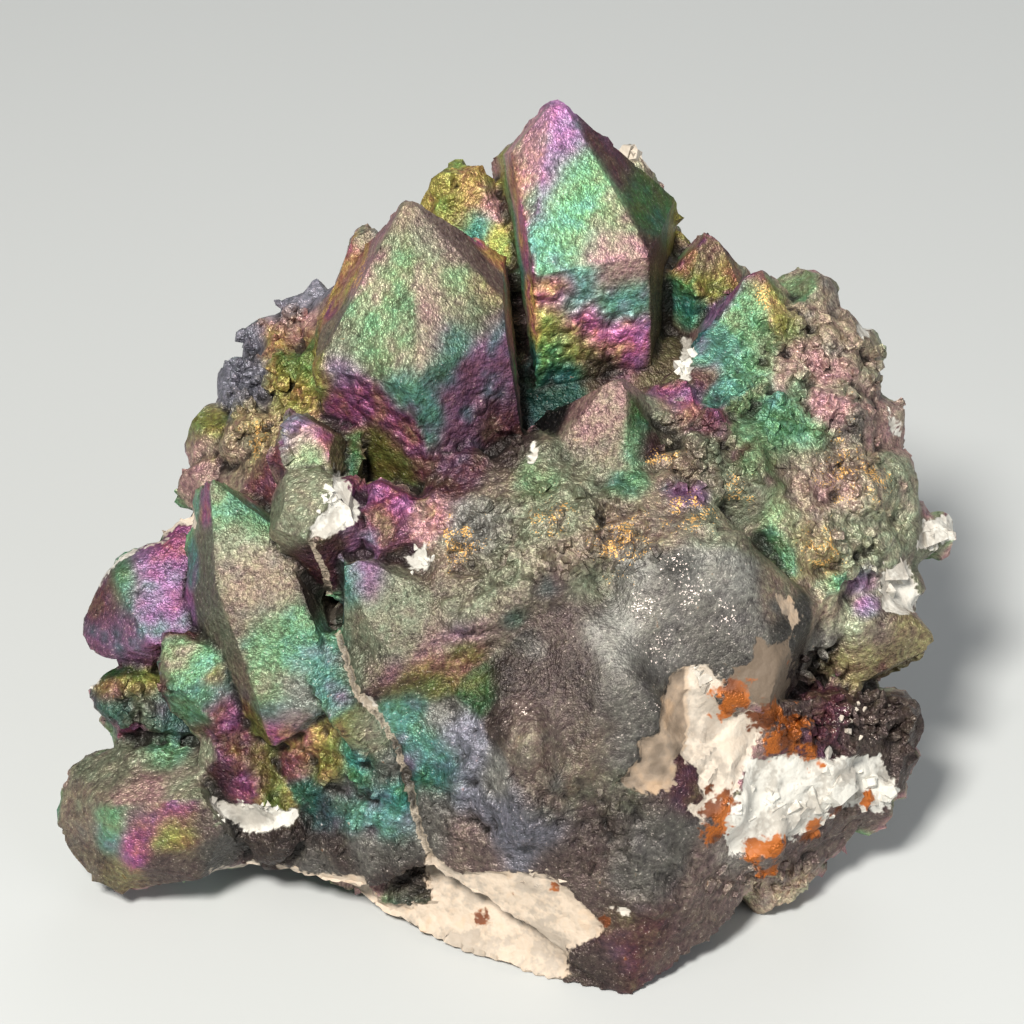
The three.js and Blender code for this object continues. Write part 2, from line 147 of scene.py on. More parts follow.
# Each spot's place to the right and up the slope, its radius in mm, its tint and its brightness. The
# brightness is partly the coating's own lightness and partly painted light and shade: spots on faces turned
# from the lamp and in hollows are darker, spots on lit faces lighter.
TINTED_SPOTS: dict[str, tuple[tuple, ...]] = {
    "crown, upper left face": (
        (2.8, 24.5, 1.3, Tint.LILAC, 1.25), (1.1, 23.0, 1.2, Tint.PINK, 1.2),
        (3.2, 22.6, 1.2, Tint.LILAC, 1.1), (0.4, 21.2, 1.1, Tint.PINK, 1.1),
        (2.2, 20.6, 1.1, Tint.LILAC, 1.1), (4.6, 20.4, 1.3, Tint.GREEN, 1.1),
        (0.9, 19.0, 0.8, Tint.GREEN, 1.0), (2.1, 18.7, 0.8, Tint.LILAC, 1.0),
        (3.8, 18.6, 1.2, Tint.GREEN, 1.1), (1.6, 16.8, 1.3, Tint.TEAL, 1.15),
        (3.9, 16.6, 1.2, Tint.GREEN, 1.15), (6.6, 18.4, 1.0, Tint.MOSS, 1.0),
        (6.2, 16.0, 1.2, Tint.PINK, 1.05), (6.5, 14.3, 1.1, Tint.ROSE, 1.0),
    ),
    "crown, prism": (
        (1.9, 15.3, 0.8, Tint.GREEN, 1.1), (4.5, 14.0, 0.9, Tint.TEAL, 1.0),
        (6.9, 12.3, 1.0, Tint.TEAL, 0.9), (4.2, 12.6, 0.8, Tint.TEAL, 0.9),
        (1.0, 14.1, 0.8, Tint.MAGENTA, 0.9), (2.8, 12.5, 0.9, Tint.MAGENTA, 0.95),
        (4.7, 11.1, 0.9, Tint.MAGENTA, 1.3), (7.0, 9.9, 1.0, Tint.MAGENTA, 1.2),
        (0.9, 12.2, 0.8, Tint.RUST, 1.3), (2.4, 11.2, 0.8, Tint.LIME, 1.1),
        (4.0, 9.9, 0.8, Tint.LIME, 0.75), (5.9, 8.6, 0.8, Tint.OCHRE, 0.15),
        (1.6, 10.2, 0.8, Tint.LIME, 1.2), (2.6, 9.3, 0.8, Tint.DEEP_GREEN, 0.7),
        # The dark spots low on the prism's left are a painted shadow that the left crown casts on it.
        (1.6, 8.3, 0.7, Tint.DEEP_TEAL, 0.5), (3.2, 8.0, 0.7, Tint.DEEP_TEAL, 0.3),
        (2.0, 7.1, 0.8, Tint.DEEP_TEAL, 0.15), (1.6, 5.9, 0.8, Tint.BLACK, 0.25),
    ),
    # The right faces are darkened as painted shade.
    "crown, right faces": (
        (5.6, 23.0, 0.9, Tint.CRIMSON, 0.55), (6.9, 21.4, 1.1, Tint.CRIMSON, 0.5),
        (8.4, 19.5, 1.2, Tint.DEEP_GREEN, 0.45), (8.7, 17.9, 0.9, Tint.DEEP_GREEN, 0.4),
        (9.0, 15.9, 1.0, Tint.CRIMSON, 0.4), (9.1, 13.4, 1.2, Tint.OCHRE, 0.35),
        (9.2, 10.6, 1.3, Tint.OCHRE, 0.35), (9.4, 8.9, 0.9, Tint.OCHRE, 0.4),
    ),
    "crown, left edge": (
        (0.0, 19.8, 0.8, Tint.RUST, 1.0), (0.1, 18.0, 0.7, Tint.MAGENTA, 0.9),
        (0.2, 16.2, 0.6, Tint.MAGENTA, 0.9), (-0.6, 17.0, 0.7, Tint.LIME, 0.7),
        (-0.6, 15.9, 0.7, Tint.RUST, 0.8),
    ),
    "left crown, upper face": (
        (-6.3, 18.5, 0.8, Tint.TAN, 0.9), (-7.3, 17.2, 0.9, Tint.TAN, 0.8),
        (-8.4, 16.0, 1.0, Tint.PINK, 0.8), (-9.3, 14.8, 0.9, Tint.PINK, 0.75),
        (-5.9, 16.6, 1.0, Tint.MOSS, 0.9), (-4.9, 16.9, 0.8, Tint.SAGE, 1.0),
        (-6.4, 14.6, 1.2, Tint.MOSS, 0.95), (-8.2, 13.2, 1.2, Tint.MOSS, 0.95),
        (-7.0, 12.0, 1.3, Tint.GREEN, 0.8), (-9.2, 11.4, 1.1, Tint.GREEN, 0.9),
        (-7.6, 10.2, 1.1, Tint.MOSS, 0.9), (-10.4, 10.6, 0.9, Tint.SAGE, 0.8),
        (-5.0, 13.6, 1.0, Tint.ROSE, 1.0), (-4.8, 11.8, 1.1, Tint.ROSE, 1.0),
        (-5.6, 9.8, 1.1, Tint.TAN, 1.0), (-3.2, 13.6, 1.0, Tint.MOSS, 0.9),
        (-2.6, 12.6, 0.8, Tint.TAN, 0.9), (-9.4, 9.5, 0.9, Tint.MOSS, 0.8),
        (-11.0, 13.2, 0.8, Tint.RUST, 0.75), (-10.1, 15.1, 0.7, Tint.RUST, 0.8),
        (-11.4, 11.4, 0.8, Tint.TAN, 0.6),
    ),
    "left crown, right face": (
        (-4.5, 17.3, 0.8, Tint.BROWN, 0.9), (-3.0, 16.3, 0.9, Tint.BROWN, 0.9),
        (-1.6, 15.3, 0.9, Tint.BROWN, 0.8), (-1.3, 14.0, 0.8, Tint.OCHRE, 0.6),
    ),
    "left crown, prism": (
        (-10.4, 8.3, 1.0, Tint.LILAC, 0.75), (-9.6, 7.0, 1.0, Tint.MAGENTA, 0.75),
        (-10.3, 5.9, 0.8, Tint.MAGENTA, 0.7), (-8.4, 5.7, 0.9, Tint.MAGENTA, 0.7),
        (-6.9, 4.6, 0.9, Tint.MAGENTA, 0.65), (-5.6, 3.4, 0.8, Tint.CRIMSON, 0.7),
        (-7.0, 7.8, 1.1, Tint.TEAL, 0.75), (-5.6, 6.4, 1.1, Tint.TEAL, 0.75),
        (-4.6, 5.0, 0.8, Tint.TEAL, 0.65), (-8.4, 8.9, 0.9, Tint.MOSS, 0.75),
        (-9.6, 4.6, 0.9, Tint.OCHRE, 0.35), (-8.1, 3.8, 0.9, Tint.LIME, 0.45),
        (-9.0, 3.3, 0.7, Tint.DEEP_GREEN, 0.4), (-3.8, 8.6, 0.9, Tint.TEAL, 0.55),
        (-3.0, 10.6, 1.0, Tint.TEAL, 0.6), (-1.7, 11.9, 0.9, Tint.MOSS, 0.5),
        (-1.2, 9.6, 1.0, Tint.VIOLET, 0.75), (-2.3, 7.4, 1.1, Tint.VIOLET, 0.7),
        (-0.9, 7.4, 0.9, Tint.VIOLET, 0.65), (-1.0, 5.4, 1.0, Tint.CRIMSON, 0.5),
        (-2.8, 4.6, 1.0, Tint.VIOLET, 0.55), (-0.4, 4.0, 0.9, Tint.BROWN, 0.5),
        (-3.2, 2.6, 0.9, Tint.CRIMSON, 0.5), (-4.1, 3.3, 0.7, Tint.VIOLET, 0.6),
    ),
    "shoulder behind the left crown": (
        (-4.6, 20.2, 1.1, Tint.LIME, 1.0), (-3.0, 20.9, 1.0, Tint.LIME, 1.1),
        (-1.6, 21.5, 0.8, Tint.LIME, 1.0), (-2.3, 20.0, 0.9, Tint.RUST, 1.1),
        (-1.3, 19.3, 0.8, Tint.PINK, 1.0), (-5.6, 19.6, 0.8, Tint.SAGE, 0.9),
        (-3.6, 18.8, 0.8, Tint.LIME, 0.95), (-2.2, 18.1, 0.7, Tint.DEEP_TEAL, 0.9),
        (-0.4, 20.8, 0.7, Tint.RUST, 1.0), (-7.6, 18.6, 0.6, Tint.ROSE, 0.8),
    ),
    "rough left flank": (
        (-12.7, 13.3, 0.9, Tint.DUSK, 1.1), (-13.2, 11.6, 1.0, Tint.ROSE, 0.8),
        (-14.6, 10.6, 1.0, Tint.RUST, 0.6), (-16.7, 8.0, 1.5, Tint.DUSK, 0.85),
        (-14.4, 8.2, 1.2, Tint.LIME, 0.6), (-12.4, 8.0, 1.0, Tint.LIME, 0.45),
        (-13.0, 9.6, 0.9, Tint.DEEP_GREEN, 0.35), (-16.2, 5.2, 1.3, Tint.OCHRE, 0.8),
        (-17.0, 3.4, 1.2, Tint.TAN, 0.8), (-15.2, 3.4, 0.8, Tint.CRIMSON, 0.5),
        (-14.9, 1.6, 0.9, Tint.ROSE, 0.6), (-15.7, 1.9, 0.7, Tint.CRIMSON, 0.6),
        (-18.0, 5.6, 1.2, Tint.LIME, 0.5), (-18.6, 3.4, 1.0, Tint.ROSE, 0.6),
    ),
    "block and its cap": (
        (-13.2, 2.0, 1.1, Tint.SAGE, 0.9), (-12.2, 0.8, 1.1, Tint.SAGE, 0.95),
        (-12.5, 3.6, 0.8, Tint.MOSS, 0.9), (-13.4, -0.2, 0.8, Tint.SAGE, 0.7),
        (-13.6, 4.6, 0.9, Tint.LILAC, 1.1), (-12.0, 5.2, 0.9, Tint.PINK, 1.0),
        (-11.2, 4.6, 0.6, Tint.MAGENTA, 0.9), (-14.4, 5.2, 0.6, Tint.SAGE, 0.9),
    ),
    "magenta knobs": (
        (-8.6, 1.6, 1.0, Tint.MAGENTA, 0.6), (-6.4, 1.2, 0.9, Tint.MAGENTA, 0.9),
        (-5.2, 0.4, 0.8, Tint.PINK, 0.9), (-4.2, 0.0, 0.6, Tint.RUST, 0.9),
        (-8.0, -0.4, 1.0, Tint.CRIMSON, 0.6), (-8.8, -2.2, 0.9, Tint.VIOLET, 0.7),
        (-6.8, -1.6, 0.8, Tint.CRIMSON, 0.5), (-10.0, 2.8, 0.6, Tint.OCHRE, 0.4),
    ),
    "long crystal on the left": (
        (-18.9, 1.6, 0.6, Tint.MAGENTA, 0.9), (-19.0, 0.2, 0.5, Tint.MAGENTA, 0.9),
        (-18.0, 1.4, 0.7, Tint.MOSS, 0.85), (-17.2, 0.4, 0.9, Tint.GREEN, 0.95),
        (-15.6, 0.2, 0.9, Tint.GREEN, 0.9), (-16.8, -1.4, 1.1, Tint.SAGE, 1.0),
        (-15.0, -1.6, 1.0, Tint.SAGE, 0.95), (-16.0, -3.6, 1.3, Tint.TAN, 1.0),
        (-14.6, -4.8, 1.1, Tint.TAN, 0.9), (-16.8, -6.2, 1.2, Tint.TAN, 0.75),
        (-18.8, -2.6, 1.0, Tint.SAGE, 0.6), (-18.6, -5.4, 1.0, Tint.SAGE, 0.5),
        (-17.9, -8.0, 1.0, Tint.SAGE, 0.5), (-16.8, -9.4, 0.9, Tint.TAN, 0.6),
        (-14.6, -7.4, 1.1, Tint.GREEN, 0.9), (-12.9, -6.9, 1.0, Tint.GREEN, 0.85),
        (-14.2, -9.2, 1.2, Tint.GREEN, 0.9), (-12.4, -9.0, 1.1, Tint.TEAL, 0.9),
        (-15.2, -11.0, 1.0, Tint.MOSS, 0.8), (-11.6, -10.6, 1.0, Tint.TEAL, 0.75),
        (-13.0, -11.2, 0.9, Tint.PEWTER, 1.1), (-14.0, -12.6, 0.9, Tint.TEAL, 0.75),
        (-11.4, -12.0, 0.9, Tint.GREEN, 0.8), (-12.9, -3.4, 0.8, Tint.CRIMSON, 0.3),
        (-12.0, -5.2, 0.7, Tint.BROWN, 0.35), (-11.6, -3.2, 0.7, Tint.CRIMSON, 0.35),
    ),
    "far left crystal": (
        (-24.0, -4.4, 0.9, Tint.GREEN, 0.8), (-23.1, -5.3, 0.7, Tint.TEAL, 0.8),
        (-21.3, -3.4, 1.0, Tint.LILAC, 1.1), (-21.6, -5.2, 1.1, Tint.LILAC, 1.1),
        (-21.8, -6.8, 0.9, Tint.LILAC, 1.0), (-20.9, -1.9, 0.7, Tint.MAGENTA, 1.0),
        (-19.9, -3.0, 0.5, Tint.TEAL, 0.9), (-25.0, -5.4, 0.9, Tint.CRIMSON, 0.8),
        (-24.4, -7.0, 1.1, Tint.VIOLET, 0.75), (-23.4, -8.2, 1.0, Tint.VIOLET, 0.8),
        (-20.4, -7.0, 0.6, Tint.CRIMSON, 0.5),
    ),
    "stub under the far left crystal": (
        (-24.4, -9.4, 0.6, Tint.DEEP_GREEN, 0.3), (-22.8, -9.5, 0.6, Tint.BLACK, 0.3),
        (-23.2, -10.5, 0.8, Tint.LIME, 1.4), (-24.5, -10.5, 0.6, Tint.RUST, 0.9),
        (-21.9, -10.6, 0.6, Tint.CRIMSON, 0.8), (-24.2, -12.0, 0.9, Tint.TEAL, 0.5),
        (-22.4, -12.4, 1.0, Tint.SAGE, 0.7), (-21.0, -12.8, 0.8, Tint.TEAL, 0.6),
        (-23.8, -13.8, 0.6, Tint.MAGENTA, 0.8),
    ),
    "small green crystal": (
        (-20.4, -8.6, 0.9, Tint.MOSS, 0.9), (-19.2, -9.4, 0.9, Tint.GREEN, 0.95),
        (-18.6, -11.0, 1.0, Tint.TEAL, 0.95), (-20.0, -10.8, 0.8, Tint.GREEN, 0.8),
        (-19.0, -12.4, 0.8, Tint.GREEN, 0.8), (-17.8, -9.9, 0.5, Tint.RUST, 0.8),
    ),
    "prism in the valley": (
        (-17.4, -12.8, 0.9, Tint.MAGENTA, 0.7), (-18.0, -13.8, 0.8, Tint.CRIMSON, 0.6),
        (-15.8, -13.8, 0.8, Tint.LIME, 0.5), (-16.8, -15.4, 0.9, Tint.MAGENTA, 0.5),
        (-15.8, -16.4, 0.9, Tint.MAGENTA, 0.75), (-14.8, -15.2, 0.7, Tint.LIME, 0.4),
        (-14.2, -16.8, 0.8, Tint.LIME, 0.6), (-17.9, -16.2, 0.7, Tint.CRIMSON, 0.3),
        (-12.8, -17.6, 0.7, Tint.DEEP_TEAL, 0.4),
    ),
    "foot crystal": (
        (-24.0, -15.2, 1.2, Tint.SAGE, 0.8), (-22.4, -16.2, 1.2, Tint.ROSE, 0.9),
        (-23.6, -16.9, 0.9, Tint.ROSE, 1.0), (-20.0, -16.2, 1.2, Tint.SAGE, 0.95),
        (-21.4, -14.4, 0.8, Tint.GREEN, 0.8), (-19.4, -15.0, 0.8, Tint.SAGE, 0.8),
        (-25.6, -17.2, 1.0, Tint.TAN, 0.8), (-24.9, -18.6, 0.9, Tint.GREEN, 1.0),
        (-26.2, -19.2, 0.9, Tint.TAN, 0.8), (-25.0, -20.0, 0.8, Tint.TEAL, 0.9),
        (-23.3, -21.2, 0.8, Tint.MAGENTA, 1.0), (-22.2, -19.2, 0.8, Tint.MAGENTA, 0.8),
        (-20.4, -18.7, 0.8, Tint.MAGENTA, 0.65), (-22.9, -18.4, 0.8, Tint.SAGE, 0.6),
        (-20.6, -19.9, 0.9, Tint.LIME, 0.75), (-18.9, -19.6, 0.9, Tint.BROWN, 0.7),
        (-17.6, -20.6, 1.1, Tint.SLATE, 0.6), (-14.6, -20.4, 1.3, Tint.BROWN, 0.35),
        (-20.6, -21.6, 1.0, Tint.BROWN, 0.7), (-24.4, -22.2, 0.9, Tint.OCHRE, 0.55),
        (-26.4, -21.0, 0.9, Tint.TAN, 0.6),
    ),
    "grey crystal in the middle": (
        (-10.2, -4.6, 0.8, Tint.TEAL, 0.85), (-8.6, -4.0, 0.7, Tint.LILAC, 1.0),
        (-7.4, -4.6, 0.8, Tint.SAGE, 0.95), (-9.2, -6.2, 1.1, Tint.SAGE, 0.95),
        (-6.4, -6.2, 1.1, Tint.SAGE, 0.9), (-7.6, -7.8, 1.1, Tint.SAGE, 0.8),
        (-9.2, -9.0, 1.0, Tint.SAGE, 0.7), (-5.2, -7.0, 0.8, Tint.ROSE, 0.7),
        (-10.8, -4.4, 0.4, Tint.CRIMSON, 0.6),
    ),
    "shelf": (
        (-2.0, -0.6, 1.3, Tint.PEWTER, 1.2), (0.6, -0.8, 1.4, Tint.SAGE, 0.85),
        (-3.4, -3.0, 1.2, Tint.TAN, 0.75), (-0.6, -3.2, 1.4, Tint.SAGE, 0.85),
        (2.2, -2.4, 1.2, Tint.TAN, 0.8), (-2.6, -5.4, 1.3, Tint.SAGE, 0.85),
        (3.4, 0.6, 1.2, Tint.SAGE, 0.9), (6.4, 0.2, 1.2, Tint.TAN, 0.95),
        (9.2, -0.4, 1.2, Tint.TAN, 0.9), (12.4, -0.6, 1.2, Tint.SAGE, 0.85),
        (14.2, -1.4, 1.0, Tint.SAGE, 0.7), (1.4, 2.0, 1.0, Tint.MOSS, 0.7),
        (-0.8, 1.8, 0.9, Tint.TAN, 0.7), (5.2, -1.6, 1.0, Tint.TAN, 0.85),
    ),
    "pink ridge": (
        (-7.6, -9.4, 0.8, Tint.MAGENTA, 0.7), (-8.6, -10.4, 0.7, Tint.CRIMSON, 0.5),
        (-5.4, -8.4, 0.8, Tint.PINK, 0.8), (-3.8, -7.4, 0.9, Tint.LILAC, 0.9),
        (-3.4, -8.4, 0.8, Tint.PINK, 0.95), (-1.8, -7.2, 0.9, Tint.PINK, 0.85),
        (-5.0, -9.5, 0.8, Tint.RUST, 0.8), (-2.8, -9.2, 0.8, Tint.RUST, 0.8),
        (-6.2, -10.7, 0.8, Tint.LIME, 0.6), (-4.2, -10.8, 0.8, Tint.LIME, 0.65),
        (-2.4, -10.4, 0.7, Tint.DEEP_GREEN, 0.6), (-0.2, -5.8, 0.9, Tint.ROSE, 0.8),
        (1.6, -4.6, 0.8, Tint.TAN, 0.7), (0.3, -6.7, 0.5, Tint.TEAL, 0.6),
        (3.2, -3.6, 0.7, Tint.TAN, 0.6), (2.4, -4.9, 0.6, Tint.VIOLET, 0.5),
    ),
    # Its dark brown spots are painted shade in the hollow.
    "hollow under the ridge": (
        (-1.0, -9.8, 0.7, Tint.BROWN, 0.3), (0.4, -7.9, 0.6, Tint.SLATE, 0.5),
        (2.4, -6.8, 1.1, Tint.BROWN, 0.8), (1.2, -9.0, 1.0, Tint.BROWN, 0.7),
        (4.2, -5.4, 0.8, Tint.BROWN, 0.7), (3.4, -9.0, 1.2, Tint.BROWN, 0.6),
        (1.1, -8.3, 0.4, Tint.PEWTER, 1.6),
    ),
    "folds of the lower left": (
        (-13.4, -12.9, 0.7, Tint.PINK, 0.85), (-13.9, -13.8, 0.7, Tint.MAGENTA, 0.85),
        (-11.4, -12.9, 0.6, Tint.LILAC, 0.8), (-12.6, -14.3, 0.8, Tint.RUST, 0.85),
        (-10.7, -13.8, 0.8, Tint.LIME, 0.75), (-11.6, -15.4, 0.8, Tint.LIME, 0.6),
        (-13.4, -15.6, 0.6, Tint.CRIMSON, 0.8), (-9.2, -14.0, 0.9, Tint.SAGE, 0.65),
        (-9.6, -15.7, 0.9, Tint.DEEP_TEAL, 0.8), (-8.0, -16.2, 0.8, Tint.SLATE, 0.7),
        (-10.6, -17.3, 0.9, Tint.SLATE, 0.5), (-12.0, -18.7, 0.8, Tint.NAVY, 0.35),
        (-9.6, -18.6, 0.9, Tint.TEAL, 0.85), (-7.9, -19.1, 0.8, Tint.TEAL, 0.8),
        (-9.2, -20.4, 0.9, Tint.SLATE, 0.9), (-11.4, -20.6, 1.0, Tint.BROWN, 0.35),
        (-7.6, -17.6, 0.7, Tint.DEEP_TEAL, 0.7), (-12.2, -21.7, 0.8, Tint.SLATE, 0.8),
        (-7.0, -22.4, 1.2, Tint.BROWN, 0.35), (-7.2, -20.8, 0.8, Tint.SLATE, 0.6),
    ),
    "blue folds of the curtain": (
        (-6.2, -12.6, 0.8, Tint.TEAL, 0.75), (-4.8, -12.6, 0.7, Tint.PEWTER, 0.8),
        (-5.4, -14.4, 0.9, Tint.TEAL, 0.6), (-3.8, -13.7, 0.7, Tint.DUSK, 1.3),
        (-2.7, -14.9, 0.8, Tint.DUSK, 1.25), (-1.6, -16.2, 0.9, Tint.PEWTER, 0.95),
        (-4.6, -16.2, 0.9, Tint.DEEP_TEAL, 0.5), (-3.2, -17.4, 0.9, Tint.DUSK, 1.15),
        (-4.8, -18.4, 0.8, Tint.SLATE, 1.0), (-1.4, -18.4, 1.0, Tint.DUSK, 0.85),
        (-3.0, -20.2, 1.1, Tint.BROWN, 1.0), (-0.8, -19.8, 1.1, Tint.DUSK, 0.95),
        (-4.7, -20.2, 0.7, Tint.SLATE, 0.8),
    ),
    # The spots lower right with brightness above 1 are lightened as painted light.
    "brown curtain": (
        (0.2, -12.2, 0.9, Tint.BROWN, 1.1), (0.9, -13.6, 0.9, Tint.TAN, 0.85),
        (1.2, -15.4, 0.9, Tint.BROWN, 1.0), (-1.0, -12.6, 0.8, Tint.BROWN, 0.5),
        (3.4, -12.2, 1.4, Tint.BROWN, 0.65), (6.2, -11.8, 1.6, Tint.SLATE, 0.85),
        (3.8, -16.4, 1.2, Tint.TAN, 0.45), (2.0, -17.6, 1.2, Tint.TAN, 0.65),
        (5.4, -19.0, 1.4, Tint.BROWN, 0.6), (8.6, -19.8, 1.4, Tint.SLATE, 0.8),
        (3.6, -21.6, 1.2, Tint.BROWN, 0.9), (7.6, -23.0, 1.3, Tint.SLATE, 0.9),
        (8.0, -26.2, 1.8, Tint.CRIMSON, 0.55), (12.4, -23.0, 1.6, Tint.BROWN, 1.4),
        (11.2, -25.4, 1.3, Tint.BROWN, 1.0), (15.8, -22.8, 1.2, Tint.TAN, 2.2),
        (5.0, -27.8, 1.2, Tint.BROWN, 0.55), (10.8, -17.0, 0.9, Tint.CRIMSON, 0.4),
        (0.6, -19.2, 1.4, Tint.DUSK, 0.95), (6.4, -17.6, 0.9, Tint.SAGE, 0.5),
        (8.8, -17.6, 0.8, Tint.BROWN, 0.6), (4.4, -23.6, 0.9, Tint.BROWN, 0.9),
        (9.6, -21.6, 0.9, Tint.SLATE, 1.0), (6.4, -25.2, 0.9, Tint.OCHRE, 0.35),
        (9.4, -27.2, 0.9, Tint.ROSE, 0.4), (13.8, -21.4, 0.9, Tint.SLATE, 2.2),
        (7.0, -14.2, 1.1, Tint.SLATE, 0.85), (5.0, -13.8, 0.8, Tint.TAN, 0.55),
    ),
    # The pale pewter spots are a painted highlight on the dome; the dim spots low at its right are painted
    # shade.
    "boss": (
        (5.4, -4.2, 1.1, Tint.SAGE, 0.7), (5.8, -6.4, 1.1, Tint.PEWTER, 1.0),
        (7.4, -3.6, 1.0, Tint.PEWTER, 1.0), (6.6, -8.0, 0.9, Tint.PEWTER, 0.9),
        (9.0, -5.2, 1.1, Tint.SLATE, 1.2), (12.0, -3.8, 1.4, Tint.PEWTER, 1.2),
        (10.8, -7.4, 1.6, Tint.SLATE, 1.0), (14.6, -4.0, 1.2, Tint.PEWTER, 1.0),
        (16.4, -4.6, 0.9, Tint.TAN, 0.8), (17.6, -7.2, 1.0, Tint.SLATE, 0.4),
        (13.4, -6.6, 1.1, Tint.SLATE, 0.9), (8.6, -9.4, 1.2, Tint.SLATE, 0.6),
        (9.6, -3.0, 0.9, Tint.BLACK, 0.15), (10.8, -2.8, 0.6, Tint.BLACK, 0.3),
        (17.4, -10.0, 0.9, Tint.BROWN, 0.3), (12.6, -8.8, 0.9, Tint.SLATE, 0.6),
    ),
    "tent": (
        (5.6, 6.4, 1.0, Tint.ROSE, 1.0), (4.4, 5.4, 1.0, Tint.ROSE, 0.95),
        (5.6, 4.4, 1.0, Tint.TAN, 0.95), (3.0, 4.2, 0.9, Tint.SAGE, 0.8),
        (4.4, 2.8, 1.0, Tint.SAGE, 0.9), (7.1, 3.8, 0.8, Tint.GREEN, 0.85),
        (6.9, 2.2, 0.7, Tint.GREEN, 0.8), (7.9, 5.6, 0.7, Tint.DEEP_GREEN, 0.3),
        (8.8, 4.2, 0.6, Tint.CRIMSON, 0.25),
    ),
    "valley right of the tent": (
        (9.8, 5.8, 1.0, Tint.SAGE, 0.65), (10.2, 3.2, 1.0, Tint.TAN, 0.8),
        (12.4, 3.6, 1.1, Tint.SAGE, 0.65), (10.8, 1.4, 0.7, Tint.VIOLET, 0.7),
        (13.6, 1.6, 1.1, Tint.SAGE, 0.8), (12.0, 5.6, 0.8, Tint.CRIMSON, 0.6),
        (11.0, 6.9, 0.8, Tint.MAGENTA, 0.8), (12.7, 6.6, 0.7, Tint.MAGENTA, 0.8),
        (9.3, 7.8, 0.6, Tint.MAGENTA, 0.6), (13.8, 4.2, 0.6, Tint.CRIMSON, 0.6),
    ),
    "folds behind the crown": (
        (12.2, 16.0, 0.9, Tint.OCHRE, 0.9), (10.4, 17.2, 0.7, Tint.LIME, 1.0),
        (11.6, 17.0, 0.5, Tint.MAGENTA, 0.9), (12.9, 16.6, 0.6, Tint.CRIMSON, 0.8),
        (10.6, 15.6, 0.6, Tint.RUST, 0.8), (12.0, 13.8, 0.8, Tint.LIME, 0.95),
        (10.9, 14.0, 0.7, Tint.DEEP_GREEN, 0.9), (11.2, 12.4, 0.7, Tint.DEEP_TEAL, 0.9),
        (11.2, 11.2, 0.6, Tint.NAVY, 1.0), (13.5, 14.9, 0.6, Tint.RUST, 0.9),
        (14.4, 14.6, 0.7, Tint.MAGENTA, 0.9),
    ),
    "green wall": (
        (12.6, 13.0, 0.8, Tint.LILAC, 0.75), (14.2, 11.8, 1.2, Tint.GREEN, 0.85),
        (12.9, 10.2, 1.0, Tint.TEAL, 0.8), (14.6, 9.2, 1.1, Tint.GREEN, 1.0),
        (13.4, 7.8, 0.9, Tint.TEAL, 0.85), (12.1, 8.6, 0.6, Tint.CRIMSON, 0.5),
        (16.2, 12.2, 1.0, Tint.LIME, 0.8), (15.6, 13.6, 0.8, Tint.RUST, 1.0),
        (17.2, 13.8, 0.8, Tint.MOSS, 0.8), (16.2, 10.4, 0.9, Tint.MOSS, 0.85),
        (14.8, 6.6, 1.0, Tint.MOSS, 0.8), (16.4, 6.0, 1.1, Tint.GREEN, 0.75),
        (18.4, 5.0, 1.1, Tint.GREEN, 0.8), (15.2, 4.2, 1.0, Tint.MOSS, 0.7),
        (16.2, 2.6, 1.0, Tint.MOSS, 0.65), (17.6, 8.2, 0.7, Tint.GREEN, 0.8),
    ),
    "mauve knobs": (
        (18.4, 12.0, 1.1, Tint.TAN, 0.9), (20.4, 10.8, 1.1, Tint.TAN, 0.8),
        (17.0, 9.0, 1.0, Tint.ROSE, 0.85), (19.2, 8.6, 1.2, Tint.ROSE, 0.95),
        (19.2, 6.8, 1.0, Tint.PINK, 0.85), (21.2, 7.4, 1.1, Tint.SAGE, 0.85),
        (22.2, 6.0, 1.0, Tint.ROSE, 0.65), (21.2, 4.8, 0.8, Tint.SLATE, 0.6),
        (23.6, 4.4, 0.9, Tint.ROSE, 0.8), (20.6, 12.2, 0.8, Tint.TAN, 0.8),
    ),
    "golden right side": (
        (18.6, 3.2, 1.1, Tint.TAN, 0.75), (20.8, 3.6, 1.0, Tint.TAN, 0.9),
        (19.8, 1.8, 1.3, Tint.ROSE, 0.8), (21.6, 2.4, 1.0, Tint.TAN, 0.8),
        (18.4, 0.2, 1.1, Tint.TAN, 0.8), (22.6, 0.4, 1.1, Tint.SAGE, 0.85),
        (23.6, 2.4, 0.9, Tint.SAGE, 0.8), (20.4, -0.8, 1.1, Tint.SAGE, 0.8),
        (18.4, -1.8, 0.9, Tint.OCHRE, 0.8), (21.4, -2.6, 1.1, Tint.SAGE, 0.8),
        (23.2, -1.2, 0.9, Tint.SAGE, 0.9), (16.8, 0.2, 0.8, Tint.MOSS, 0.6),
        (16.8, -2.6, 0.8, Tint.GREEN, 0.45), (19.4, -3.6, 0.8, Tint.OCHRE, 0.6),
        (25.2, -2.6, 0.8, Tint.SAGE, 0.5),
    ),
    "dark crystal at the right": (
        (20.2, -4.7, 0.6, Tint.GREEN, 0.7), (21.6, -4.3, 0.6, Tint.VIOLET, 0.7),
        (21.6, -5.4, 0.5, Tint.LILAC, 0.7), (19.4, -6.0, 0.9, Tint.TAN, 0.7),
        (21.4, -6.6, 1.0, Tint.SAGE, 0.8), (22.6, -7.6, 0.9, Tint.BROWN, 0.7),
        (19.6, -8.4, 1.0, Tint.SLATE, 0.7), (21.6, -8.9, 1.0, Tint.OCHRE, 0.45),
        (24.2, -7.4, 0.9, Tint.OCHRE, 0.45), (23.4, -9.4, 0.9, Tint.OCHRE, 0.35),
        (19.4, -10.4, 0.8, Tint.CRIMSON, 0.25), (21.6, -10.8, 0.8, Tint.BROWN, 0.3),
